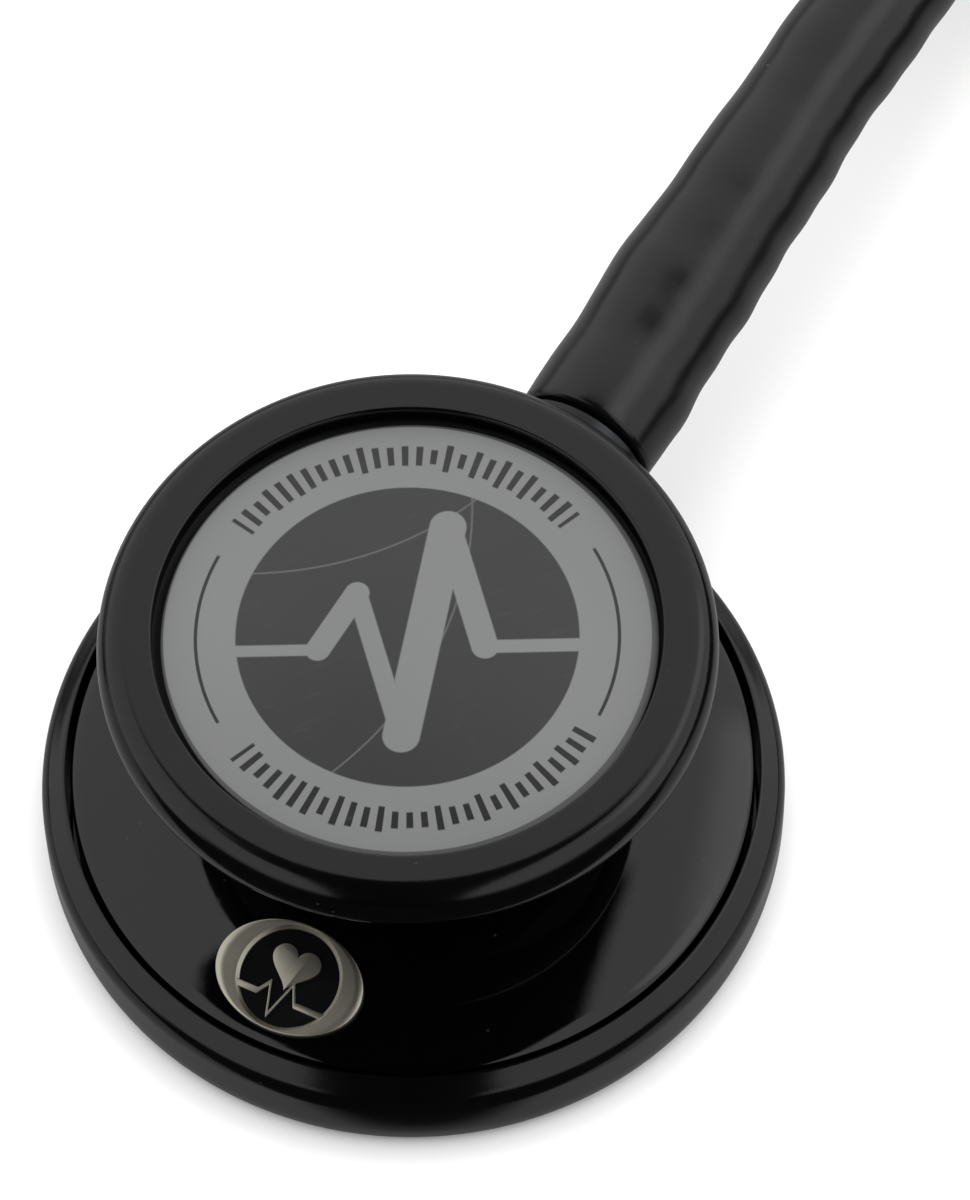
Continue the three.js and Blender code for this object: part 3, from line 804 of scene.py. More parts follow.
@dataclass(frozen=True)
class Satin:
    """A soft satin surface: rubber, film or silicone."""

    name: str
    base: float
    rough: float
    grain: float = 3000.0
    depth: float = 0.006
    mottle: float = 90.0

    def material(self) -> bpy.types.Material:
        """Builds the material.

        Returns:
            The finish, ready to be given to a piece.
        """
        paint = Paint(self.name)
        cloud = paint.noise(self.mottle, 4)
        grain = paint.noise(self.grain, 3)
        dust = paint.specks(700, 0.1)
        tone = paint.blend(cloud, grey(self.base * 0.75, -0.02), grey(self.base * 1.35, -0.02))
        paint.feed("Base Color", paint.blend(dust * 0.3, tone, grey(0.15)))
        paint.feed("Roughness", self.rough + (cloud - 0.5) * 0.14 + grain * 0.06)
        paint.bump(grain, self.depth, 0.5)
        return paint.material


@dataclass(frozen=True)
class HoseSkin:
    """Extruded black hose: satin, softly uneven, with fine lines along it."""

    name: str = "hose"
    base: float = 0.0025
    rough: float = 0.2

    def material(self) -> bpy.types.Material:
        """Builds the material.

        Returns:
            The finish, ready to be given to a piece.
        """
        paint = Paint(self.name, Specular_IOR_Level=0.42)
        flow = paint.node("ShaderNodeTexCoord", output="UV")
        drawn = paint.node("ShaderNodeMapping", inputs={"Vector": flow, "Scale": (90, 60, 1)})
        lines = paint.noise(1.0, 3, drawn)
        lumps = paint.noise(120, 3)
        grain = paint.noise(2600, 3)
        dust = paint.specks(650, 0.11)
        tone = paint.blend(lumps, grey(self.base * 0.75, -0.05), grey(self.base * 1.4, -0.04))
        paint.feed("Base Color", paint.blend(dust * 0.15, tone, grey(0.14)))
        paint.feed("Roughness", self.rough + (lumps - 0.5) * 0.16 + lines * 0.08 + dust * 0.2)
        paint.bump(lumps * 14 + lines * 0.8 + grain * 0.4, 0.012, 0.6)
        return paint.material


@dataclass(frozen=True)
class Metal:
    """Turned or drawn metal with fine tool lines."""

    name: str
    colour: Point
    rough: float
    lines: Point = (1.0, 30.0, 1.0)
    depth: float = 0.003

    def material(self) -> bpy.types.Material:
        """Builds the material.

        Returns:
            The finish, ready to be given to a piece.
        """
        paint = Paint(self.name, Metallic=1.0)
        tool = paint.noise(240, 3, paint.place(squeeze=self.lines))
        cloud = paint.noise(130, 4)
        worn = tuple(min(1.0, c * 1.3 + 0.01) for c in self.colour)
        dull = tuple(c * 0.82 for c in self.colour)
        paint.feed("Base Color", paint.blend(cloud, (*dull, 1), (*worn, 1)))
        paint.feed("Roughness", self.rough + (cloud - 0.5) * 0.12 + tool * 0.06)
        paint.bump(tool, self.depth, 0.5)
        return paint.material


def dress(obj: bpy.types.Object, material: bpy.types.Material) -> None:
    """Gives an object one material."""
    obj.data.materials.clear()
    obj.data.materials.append(material)


def stand_in(obj: bpy.types.Object, body: str, slot: str, *nodes: str) -> None:
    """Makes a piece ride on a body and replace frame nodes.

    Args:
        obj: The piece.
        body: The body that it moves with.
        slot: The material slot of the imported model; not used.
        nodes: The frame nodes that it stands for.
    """
    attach(obj, body)
    if nodes:
        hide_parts(*nodes)
    LOG.info("%s rides on %s", obj.name, body)


# ---- Studio -------------------------------------------------------------------------------------


@dataclass
class Studio:
    """Camera, floor and soft light.

    Angles are in degrees and lengths in millimetres, but for the floor's size in metres. Tent, lamp
    and gap are the levels that the polished parts mirror. The flags are dark patches painted into
    the floor's colour for glossy rays where black cards would stand round the object, so they show
    only in reflections of the floor.
    """

    azimuth: float = 30.5
    elevation: float = 60.0
    roll: float = -1.14
    distance: float = 390.0
    target: Point = (-0.35, 9.96, 12.0)
    lens: float = 185.77
    tent: float = 1.0
    lamp: float = 1.7
    gap: float = 0.0
    fill: float = 2.9
    floor_size: float = 30.0
    floor_drop: float = 0.04
    floor_tone: float = 0.93
    mirrored_tone: float = 0.27
    flag_tone: float = 0.01

    def axes(self) -> tuple[Vector, Vector, Vector]:
        """Right, up and back directions of the camera.

        Returns:
            The three directions, each of length 1.
        """
        a, e, r = (math.radians(v) for v in (self.azimuth, self.elevation, self.roll))
        back = Vector((math.sin(a) * math.cos(e), -math.cos(a) * math.cos(e), math.sin(e)))
        right = Vector((math.cos(a), math.sin(a), 0))
        up = back.cross(right)
        return (
            right * math.cos(r) + up * math.sin(r),
            up * math.cos(r) - right * math.sin(r),
            back,
        )

    def camera(self) -> None:
        """Makes the camera."""
        right, up, back = self.axes()
        data = bpy.data.cameras.new("camera")
        data.lens = self.lens
        data.clip_start, data.clip_end = 0.01, 50
        obj = bpy.data.objects.new("camera", data)
        bpy.context.collection.objects.link(obj)
        turn = Matrix((right, up, back)).transposed().to_4x4()
        obj.matrix_world = Matrix.Translation(Vector(self.target) * MM + back * self.distance * MM) @ turn
        bpy.context.scene.camera = obj

    def tent_light(self) -> None:
        """A white tent with a dark opening overhead, a dark front and a strip lamp at the right.

        Directions are parted into x to the side, y away from the front and z up.
        """
        world = bpy.data.worlds.new("tent")
        world.use_nodes = True
        bpy.context.scene.world = world
        tree = Tree(world.node_tree)
        tree.graph.nodes.clear()
        way = tree.node("ShaderNodeTexCoord", output="Generated")
        inputs = {"Vector": way, "Angle": -math.radians(self.azimuth)}
        x, y, z = tree.axes(tree.node("ShaderNodeVectorRotate", {"rotation_type": "Z_AXIS"}, inputs))
        left = x - y.most(-0.12) * 0.25 + y.band(-0.22, 0.02, 0.12) * 0.09
        slit = left.rise(-0.37, -0.33) * (x - y * 0.11).fall(0.32, 0.37)
        slit = slit * (y + x.most(0.0) * 0.5).fall(0.38, 0.46)
        horizon = z.fall(0.06, 0.34) * y.fall(-0.55, -0.35)
        lamp = x.band(0.58, 0.76, 0.1) * y.band(-0.15, 0.5, 0.1) * z.rise(0.3, 0.5)
        lit = tree.blend(lamp, grey(self.tent), grey(self.lamp))
        level = tree.blend(slit.most(horizon), lit, grey(self.gap))
        background = tree.node("ShaderNodeBackground", inputs={"Color": level})
        out = tree.graph.nodes.new("ShaderNodeOutputWorld")
        tree.graph.links.new(background.socket, out.inputs["Surface"])

    def overhead(self) -> None:
        """A wide soft light straight above, which isn't mirrored in the polished parts."""
        data = bpy.data.lights.new("overhead", "SUN")
        data.energy, data.angle = self.fill, math.radians(70)
        obj = bpy.data.objects.new("overhead", data)
        obj.visible_glossy = False
        bpy.context.collection.objects.link(obj)

    def floor(self) -> None:
        """A plain pale floor, painted dim for glossy rays and nearly black where black flags would stand:
        a painted reflection of dark surroundings in the polished parts.
        """
        Bench.clear()
        bpy.ops.mesh.primitive_plane_add(size=self.floor_size, location=(0, 0, -self.floor_drop * MM))
        plane = bpy.context.object
        plane.name = "floor"
        Bench.settle(plane)
        paint = Paint("floor", Roughness=0.9, Specular_IOR_Level=0.0)
        glossy = paint.node("ShaderNodeLightPath", output="Is Glossy Ray")
        mottle = paint.noise(3, 3)
        pale = paint.blend(mottle, grey(self.floor_tone * 0.985), grey(self.floor_tone))
        across, along, _ = paint.axes(paint.place())
        _, away, _ = paint.axes(paint.place(turn=math.radians(self.azimuth)))
        # painted reflection: glossy rays see the floor dim, and nearly black on the flags where black cards
        # would stand
        flags = (across.rise(0.04, 0.05) * along.rise(0.045, 0.06)).most(away.fall(-0.0254, -0.0238))
        mirrored = paint.blend(flags, grey(self.mirrored_tone), grey(self.flag_tone))
        paint.feed("Base Color", paint.blend(glossy, pale, mirrored))
        dress(plane, paint.material)

    def look(self) -> None:
        """Plain colour handling."""
        bpy.context.scene.view_settings.view_transform = "Standard"

    def build(self) -> None:
        """Makes the camera, light and floor."""
        self.camera()
        self.tent_light()
        self.overhead()
        self.floor()
        self.look()


# ---- Hose ---------------------------------------------------------------------------------------


@dataclass
class Hose:
    """The hose, pushed over the stem's barbs and laid in a wide bend back to the headset.

    Its skin keeps the full stretch as far as grip and loses it over taper. It is uneven as far as
    lively, and that fades over calm.
    """

    radius: float = 4.2
    stretch: float = 0.5
    grip: float = 11.0
    taper: float = 24.0
    start: float = 21.9
    bore: float = 3.8
    socket: float = 12.9
    sides: int = 56
    step: float = 0.7
    mouth: float = 0.5
    lively: float = 12.0
    calm: float = 60.0
    route: tuple[Point, ...] = (
        *((0, 21.9, STEM_HEIGHT), (0, 28, STEM_HEIGHT), (0, 34.9, STEM_HEIGHT), (0, 46, 14.2)),
        *((0.1, 58, 13.6), (0.3, 72, 12), (0.7, 87, 9.4), (1.1, 102, 6.9), (1.3, 117, 5)),
        *((1.3, 132, 4.4), (1, 150, 4.3), (0.6, 168, 4.3), (0.2, 184, 4.3), (0, 196, 4.3)),
        *((0, 208, 4.3), (-5, 230.2, 4.3), (-19, 249, 4.3), (-40, 261.6, 4.3), (-65, 266, 4.3)),
        *((-90, 262.2, 4.3), (-111, 251.4, 4.3), (-125, 235.1, 4.3), (-130, 216, 4.4)),
        (-130, 209.1, 4.45),
    )

    def swell(self, distance: float, angle: float) -> float:
        """What is added to the radius: the stretch over the barbs, then gentle unevenness.

        Args:
            distance: Along the hose in millimetres.
            angle: Round the hose.

        Returns:
            Millimetres added to the radius.
        """
        if distance < self.mouth:
            return 0.0
        t = min(max((distance - self.grip) / self.taper, 0), 1)
        stretched = self.stretch * (1 - t * t * (3 - 2 * t))
        near = math.exp(-max(distance - self.lively, 0) / self.calm)
        near *= min(1.0, (distance - self.mouth) / 4)
        wave = 0.09 * math.sin(distance / 1.75 + 1.3 * math.sin(angle))
        wave += 0.07 * math.sin(distance / 3.1 + angle + 0.6)
        wave += 0.05 * math.sin(distance / 5.3 - 2 * angle)
        wave += 0.05 * math.sin(distance / 0.66 + 1.5 * math.sin(angle)) * (0.6 + 0.4 * math.cos(angle))
        return stretched - 0.06 + wave * near

    def build(self) -> None:
        route = smooth_route(self.route, self.step)
        length = sum((q - p).length for p, q in zip(route, route[1:])) / MM
        stations: list[Station] = [(self.socket, 0), (self.socket, self.bore), (0.3, self.bore)]
        stations += [(0.0, self.bore + 0.15), (0.0, self.radius + 0.05)]
        stations += [(0.12, self.radius + 0.3), (0.35, self.radius + 0.42), (self.mouth, self.radius)]
        count = int((length - 1) / self.step)
        stations += [(self.mouth + self.step * i, self.radius) for i in range(1, count)]
        stations += [(length - 0.3, self.radius - 0.02), (length, self.radius - 0.3), (length, 0)]
        obj = lofted("hose_skin", route, stations, self.sides, self.swell)
        dress(obj, HoseSkin().material())
        stand_in(obj, "root", "hose", "hose", "hose_cuff")
        2 * self.radius * MM
        LOG.info("the hose is %.0f mm long", length)


# ---- Chestpiece ---------------------------------------------------------------------------------


@dataclass
class SmallSide:
    """The small rim, its printed diaphragm and the film ring between them."""

    rim_r: float = 18.95
    wall_r: float = 16.8
    lip_r: float = 15.55
    shoulder_r: float = 17.3
    top: float = 24.05
    bottom: float = 21.1
    widest: float = 22.0
    disc_r: float = 15.15
    disc_top: float = 23.1
    disc_thickness: float = 0.55
    film_top: float = 22.1
    shift: Station = (0.17, -0.02)
    turn: float = math.radians(30.5)

    def rim(self) -> None:
        """The rounded rim with its inward lip."""
        low = self.top - 1.3
        stations = [(self.wall_r, self.bottom + 0.1), (self.wall_r, low), (self.lip_r + 0.1, low)]
        stations += [(self.lip_r, low + 0.1), (self.lip_r, self.top - 0.3)]
        stations += arc((self.lip_r + 0.14, self.top - 0.14), (0.14, 0.14), 180, 95, 4)
        stations += [(r, self.top) for r in (self.lip_r + 0.2, self.lip_r + 0.3, self.shoulder_r - 0.08)]
        reach = self.rim_r - self.shoulder_r
        stations += arc((self.shoulder_r, self.widest), (reach, self.top - self.widest), 90, 2, 20)
        stations += arc((self.rim_r - 0.5, self.widest), (0.5, self.widest - self.bottom), -4, -62, 6)
        stations += [(self.rim_r - 0.42, self.bottom + 0.06), (self.rim_r - 0.6, self.bottom)]
        stations += [(self.wall_r + 0.1, self.bottom)]
        obj = Bench.turned("small_rim", stations, 192)
        dress(obj, Rim("rim_rubber_small").material())
        stand_in(obj, "chestpiece", "rim_rubber", "rim_small")

    def disc(self) -> None:
        """The stiff printed disc, with a rounded edge."""
        bottom = self.disc_top - self.disc_thickness
        stations = [(0.5, self.disc_top), (self.disc_r - 0.3, self.disc_top)]
        stations += [(self.disc_r - 0.04, self.disc_top - 0.1), (self.disc_r, self.disc_top - 0.16)]
        stations += [(self.disc_r, bottom + 0.1), (self.disc_r - 0.1, bottom), (0.5, bottom)]
        obj = Bench.turned("small_disc", stations, 160, End.POLE)
        obj.location = (self.shift[0] * MM, self.shift[1] * MM, 0)
        Bench.settle(obj)
        dress(obj, PrintedFace("printed_disc_small", Print.EMBLEM, self.disc_r, self.turn).material())
        stand_in(obj, "small_diaphragm", "printed_disc", "diaphragm_small")

    def film(self) -> None:
        """The thin ring of film that carries the disc's edge, with one shallow roll."""
        top = self.film_top
        stations = [(12.5, top - 0.3), (12.5, top - 0.05), (13.0, top), (15.0, top)]
        stations += [(15.3, top - 0.12), (15.7, top - 0.12), (16.0, top), (16.5, top), (16.5, top - 0.3)]
        obj = Bench.turned("small_film", stations, 128)
        dress(obj, Satin("film_small", 0.006, 0.55).material())
        stand_in(obj, "chestpiece", "film", "surround_small")

    def build(self) -> None:
        """Models the small side."""
        self.rim()
        self.disc()
        self.film()


@dataclass
class LargeSide:
    """The large rim, its printed diaphragm and the film ring between them."""

    rim_r: float = 23.5
    wall_r: float = 21.9
    lip_r: float = 20.6
    shoulder: float = 4.8
    widest: float = 2.8
    disc_r: float = 20.1
    disc_face: float = 0.2
    disc_thickness: float = 0.65
    film_bottom: float = 1.3
    crown: tuple[Station, ...] = ((22.93, 6.2), (22.5, 6.56), (22.12, 6.88), (22.05, 6.93), (21.95, 6.94))

    def rim(self) -> None:
        """The rounded rim with its inward lip and its chamfered crown."""
        stations = [(self.lip_r + 0.1, 0.9), (self.lip_r, 0.8), (self.lip_r, 0.35)]
        stations += arc((self.lip_r + 0.3, 0.3), (0.3, 0.3), 180, 260, 4)
        stations += arc((self.rim_r - 1.3, self.widest), (1.3, self.widest), -88, -4, 12)
        stations += [(self.rim_r, self.widest + 0.6), (self.rim_r, self.shoulder)]
        stations += arc((self.rim_r - 1.0, self.shoulder), (1.0, 1.55), 4, 61.6, 12)
        stations += [*self.crown, (self.wall_r, 6.9), (self.wall_r, 6.75)]
        stations += [(self.wall_r, 1.0), (self.wall_r - 0.1, 0.9)]
        obj = Bench.turned("large_rim", stations, 224)
        dress(obj, Rim("rim_rubber_large", rough=0.12).material())
        stand_in(obj, "chestpiece", "rim_rubber", "rim_large")

    def disc(self) -> None:
        """The stiff printed disc, facing down."""
        face, back = self.disc_face, self.disc_face + self.disc_thickness
        stations = [(0.5, face), (self.disc_r - 0.34, face)]
        stations += arc((self.disc_r - 0.3, face + 0.22), (0.3, 0.2), -80, 0, 4)
        stations += [(self.disc_r, back - 0.1), (self.disc_r - 0.1, back), (0.5, back)]
        obj = Bench.turned("large_disc", stations, 160, End.POLE)
        face_print = PrintedFace("printed_disc_large", Print.SCALE, self.disc_r, 0.0, ring=0.13)
        dress(obj, face_print.material())
        stand_in(obj, "large_diaphragm", "printed_disc", "diaphragm_large")

    def film(self) -> None:
        """The thin ring of film that carries the disc's edge."""
        low = self.film_bottom
        stations = [(17.6, low + 0.4), (17.6, low + 0.05), (18, low), (20.2, low), (20.5, low + 0.12)]
        stations += [(20.9, low + 0.12), (21.2, low), (21.6, low), (21.6, low + 0.4)]
        obj = Bench.turned("large_film", stations, 128)
        dress(obj, Satin("film_large", 0.006, 0.55).material())
        stand_in(obj, "chestpiece", "film", "surround_large")

    def build(self) -> None:
        """Models the large side."""
        self.rim()
        self.disc()
        self.film()


@dataclass
class Spool:
    """The polished body between the sides: two flanges, a neck and the stem's boss."""

    edge_r: float = 21.6
    edge_top: float = 6.9
    edge_round: float = 0.3
    root_r: float = 12.5
    root_top: float = 9.1
    root_slope: float = 0.14
    neck_r: float = 10.0
    fillet: float = 2.2
    upper_r: float = 16.5
    upper_root_r: float = 12.8
    upper_root: float = 19.5
    bore_r: float = 3.9
    boss_r: float = 5.6
    boss_length: float = 6.5
    hole_r: float = 1.15

    def crown(self, radius: float) -> tuple[float, float]:
        """Height and slope of the gently domed lower flange at a radius.

        Args:
            radius: Distance from the axis in millimetres.

        Returns:
            The height in millimetres, and how much it falls for each millimetre outwards.
        """
        reach = self.edge_r - self.edge_round - self.root_r
        bend = ((self.root_top - self.edge_top) / reach - self.root_slope) / reach
        out = radius - self.root_r
        return (
            self.root_top - self.root_slope * out - bend * out * out,
            self.root_slope + 2 * bend * out,
        )

    def build(self) -> None:
        """Models the body."""
        outer = self.edge_r - self.edge_round
        rings = [outer - (outer - self.root_r) * i / 16 for i in range(17)]
        stations = [(1.8, 4.3), (19.0, 2.3), (19.0, 1.9), (self.edge_r, 1.9)]
        stations += [(self.edge_r, self.edge_top - 0.5)]
        stations += arc((outer, self.edge_top - 0.42), (self.edge_round, 0.36), 0, 66, 5)
        stations += [(r, self.crown(r)[0]) for r in rings]
        centre = self.neck_r + self.fillet
        stations += arc((centre, self.root_top + self.fillet), (self.fillet, self.fillet), 255, 180, 10)
        stations += arc((centre, self.upper_root - self.fillet), (self.fillet, self.fillet), 180, 105, 10)
        stations += [(self.upper_root_r, self.upper_root), (16.0, 20.45), (16.3, 20.6), (16.5, 20.85)]
        stations += [(self.upper_r, 21.7), (self.upper_r - 0.1, 21.8), (13.6, 21.8), (13.6, 21.4)]
        stations += [(1.8, 19.65)]
        obj = Bench.turned("body_spool", stations, 192)
        r, end = self.boss_r, self.boss_length
        boss = [(1, 0), (r, 0), (r, end - 0.3), (r - 0.1, end - 0.08), (r - 0.3, end), (1, end)]
        bore = [(1, 0), (self.bore_r, 0), (self.bore_r, 19), (1, 19)]
        hole = [(0.5, 0), (self.hole_r, 0), (self.hole_r, 11), (0.5, 11)]
        for word, profile, sides, start, axis, operation in (
            ("boss", boss, 96, (0, 5, STEM_HEIGHT), (0, 1, 0), "UNION"),
            ("bore", bore, 96, (0, -5.9, STEM_HEIGHT), (0, 1, 0), "DIFFERENCE"),
            ("hole", hole, 48, (0, 6, STEM_HEIGHT), (1, 0, 0), "DIFFERENCE"),
        ):
            tool = Bench.turned(word, profile, sides, End.POLE)
            Bench.place(tool, Vector(start) * MM, Vector(axis))
            Bench.boolean(obj, tool, operation)
        Bench.smooth(obj, 30)
        dress(obj, Lacquer().material())
        stand_in(obj, "chestpiece", "gloss_black", "chestpiece_body")


@dataclass
class Badge:
    """An oval plate with a round dark field and a generic heart and pulse in relief.

    Its centre is centre_r from the axis, turned from the front by turn degrees.
    """

    half_length: float = 4.8
    half_width: float = 3.5
    field_r: float = 3.12
    centre_r: float = 17.46
    turn: float = 4.3

    def set_down(self, obj: bpy.types.Object, spool: Spool, lift: float) -> None:
        """Lays a flat shape on the body's slope.

        Args:
            obj: A shape that lies on z = 0 about the origin.
            spool: The body it is laid on.
            lift: Height above the slope in millimetres.
        """
        height, slope = spool.crown(self.centre_r)
        tilt = Matrix.Rotation(math.atan(slope), 4, "X")
        place = Matrix.Translation(Vector((0, -self.centre_r, height + lift)) * MM)
        obj.matrix_world = Matrix.Rotation(math.radians(self.turn), 4, "Z") @ place @ tilt
        Bench.settle(obj)

    def oval(self) -> bpy.types.Object:
        """The plate, with its field sunk below its rim in its turned profile.

        Returns:
            The plate about the origin, turned round and then stretched to an oval outside its field.
        """
        stations = [(self.half_width - 0.02, 0), (self.half_width, 0.02)]
        stations += arc((self.half_width - 0.12, 0.38), (0.12, 0.12), 0, 90, 4)
        stations += [(self.field_r + 0.3, 0.5), (self.field_r + 0.22, 0.49), (self.field_r, 0.28)]
        stations += [(self.field_r - 0.02, 0.16), (0.4, 0.16)]
        plate = Bench.turned("badge_plate", [(0.4, 0), *stations], 128, End.POLE, 25)
        stretch = self.half_length / self.half_width
        for vert in plate.data.vertices:
            out = vert.co.xy.length / MM
            share = min(max((out - self.field_r - 0.25) / (self.half_width - self.field_r - 0.3), 0), 1)
            vert.co.x *= 1 + (stretch - 1) * share
        return plate

    def motif(self) -> list[bpy.types.Object]:
        """A solid heart with a pulse line beside it.

        Returns:
            The two shapes, about the origin.
        """
        heart: list[Station] = []
        size, rise, corners = 0.098, 0.75, 48
        for i in reversed(range(corners)):
            t = 2 * math.pi * i / corners
            across = 16 * math.sin(t) ** 3
            high = 13 * math.cos(t) - 5 * math.cos(2 * t) - 2 * math.cos(3 * t) - math.cos(4 * t)
            heart.append((across * size, high * size + rise))
        line = [(-3.1, -1.5), (-1.5, -1.5), (-0.95, -0.7), (-0.35, -2.7)]
        line += [(0.45, -0.3), (1.0, -1.5), (3.1, -1.5)]
        half = 0.2
        upper = [(x, y + half) for x, y in line]
        lower = [(x, y - half) for x, y in line]
        return [
            Bench.plate("badge_heart", heart, 0.26, 0.05),
            Bench.plate("badge_pulse", lower + upper[::-1], 0.26, 0.04),
        ]

    def build(self, spool: Spool) -> None:
        """Models the badge on the body's slope.

        Args:
            spool: The body it is laid on.
        """
        gilt = Metal("champagne_metal", (0.47, 0.44, 0.37), 0.34, (1, 18, 1), 0.002).material()
        enamel = Lacquer("badge_enamel", base=0.003, rough=0.15).material()
        plate = self.oval()
        plate.data.materials.append(gilt)
        plate.data.materials.append(enamel)
        for face in plate.data.polygons:
            flat = face.normal.z > 0.9 and face.center.z < 0.2 * MM
            face.material_index = int(flat and face.center.xy.length < self.field_r * MM)
        self.set_down(plate, spool, 0.02)
        stand_in(plate, "chestpiece", "champagne_metal", "badge")
        for shape in self.motif():
            dress(shape, gilt)
            self.set_down(shape, spool, 0.17)
            stand_in(shape, "chestpiece", "champagne_metal")


@dataclass
class Stem:
    """The turned stem: spindle, collar, hose stop and barbs, with its sound passage."""

    spindle_r: float = 3.5
    collar_r: float = 4.9
    neck_r: float = 3.6
    stop_r: float = 4.6
    bore_r: float = 1.5
    stop_end: float = 21.6
    barb_end: float = 34.3

    def groove(self, middle: float, width: float, radius: float) -> list[Station]:
        """Four corners of a groove in the spindle."""
        low, high = middle - width / 2, middle + width / 2
        return [(self.spindle_r, low), (radius, low), (radius, high), (self.spindle_r, high)]

    def build(self) -> None:
        """Models the stem and gives it a black steel finish."""
        stations = [(self.bore_r, -5.4), (self.spindle_r - 0.2, -5.6), (self.spindle_r, -5.4)]
        stations += self.groove(-3.4, 1.5, 2.5) + self.groove(3.4, 1.5, 2.5)
        stations += self.groove(6.0, 1.6, 3.1) + self.groove(9.1, 1.2, 2.8)
        stations += [(self.spindle_r, 11.8), (self.collar_r - 0.2, 11.8), (self.collar_r, 12.0)]
        stations += [(self.collar_r, 13.35), (self.collar_r - 0.25, 13.6), (self.neck_r + 0.3, 13.6)]
        stop = self.stop_end
        stations += [(self.neck_r, 13.9), (self.neck_r, stop - 2.7), (self.neck_r + 0.3, stop - 2.4)]
        stations += [(self.stop_r - 0.25, stop - 2.4), (self.stop_r, stop - 2.15), (self.stop_r, stop - 1.5)]
        stations += [(self.stop_r - 0.18, stop - 1.4), (self.stop_r - 0.18, stop - 1.2)]
        stations += [(self.stop_r, stop - 1.1), (self.stop_r, stop - 0.2), (self.stop_r - 0.2, stop)]
        stations += [(3.1, stop)]
        pitch = (self.barb_end - stop - 1.6) / 3
        for i in range(3):
            start = stop + 1.6 + pitch * i
            stations += [(3.1, start), (3.45, start + 0.3), (3.5, start + 0.5), (3.46, start + 0.9)]
        stations += [(3.1, self.barb_end - 0.2), (2.9, self.barb_end), (self.bore_r, self.barb_end)]
        obj = Bench.turned("stem_turned", stations, 96, angle=28)
        Bench.place(obj, Vector((0, 0, STEM_HEIGHT)) * MM, Vector((0, 1, 0)))
        dress(obj, Metal("black_steel", (0.036, 0.037, 0.039), 0.27, (1, 60, 1)).material())
        stand_in(obj, "root", "black_steel", "stem")


# ---- Headset ------------------------------------------------------------------------------------


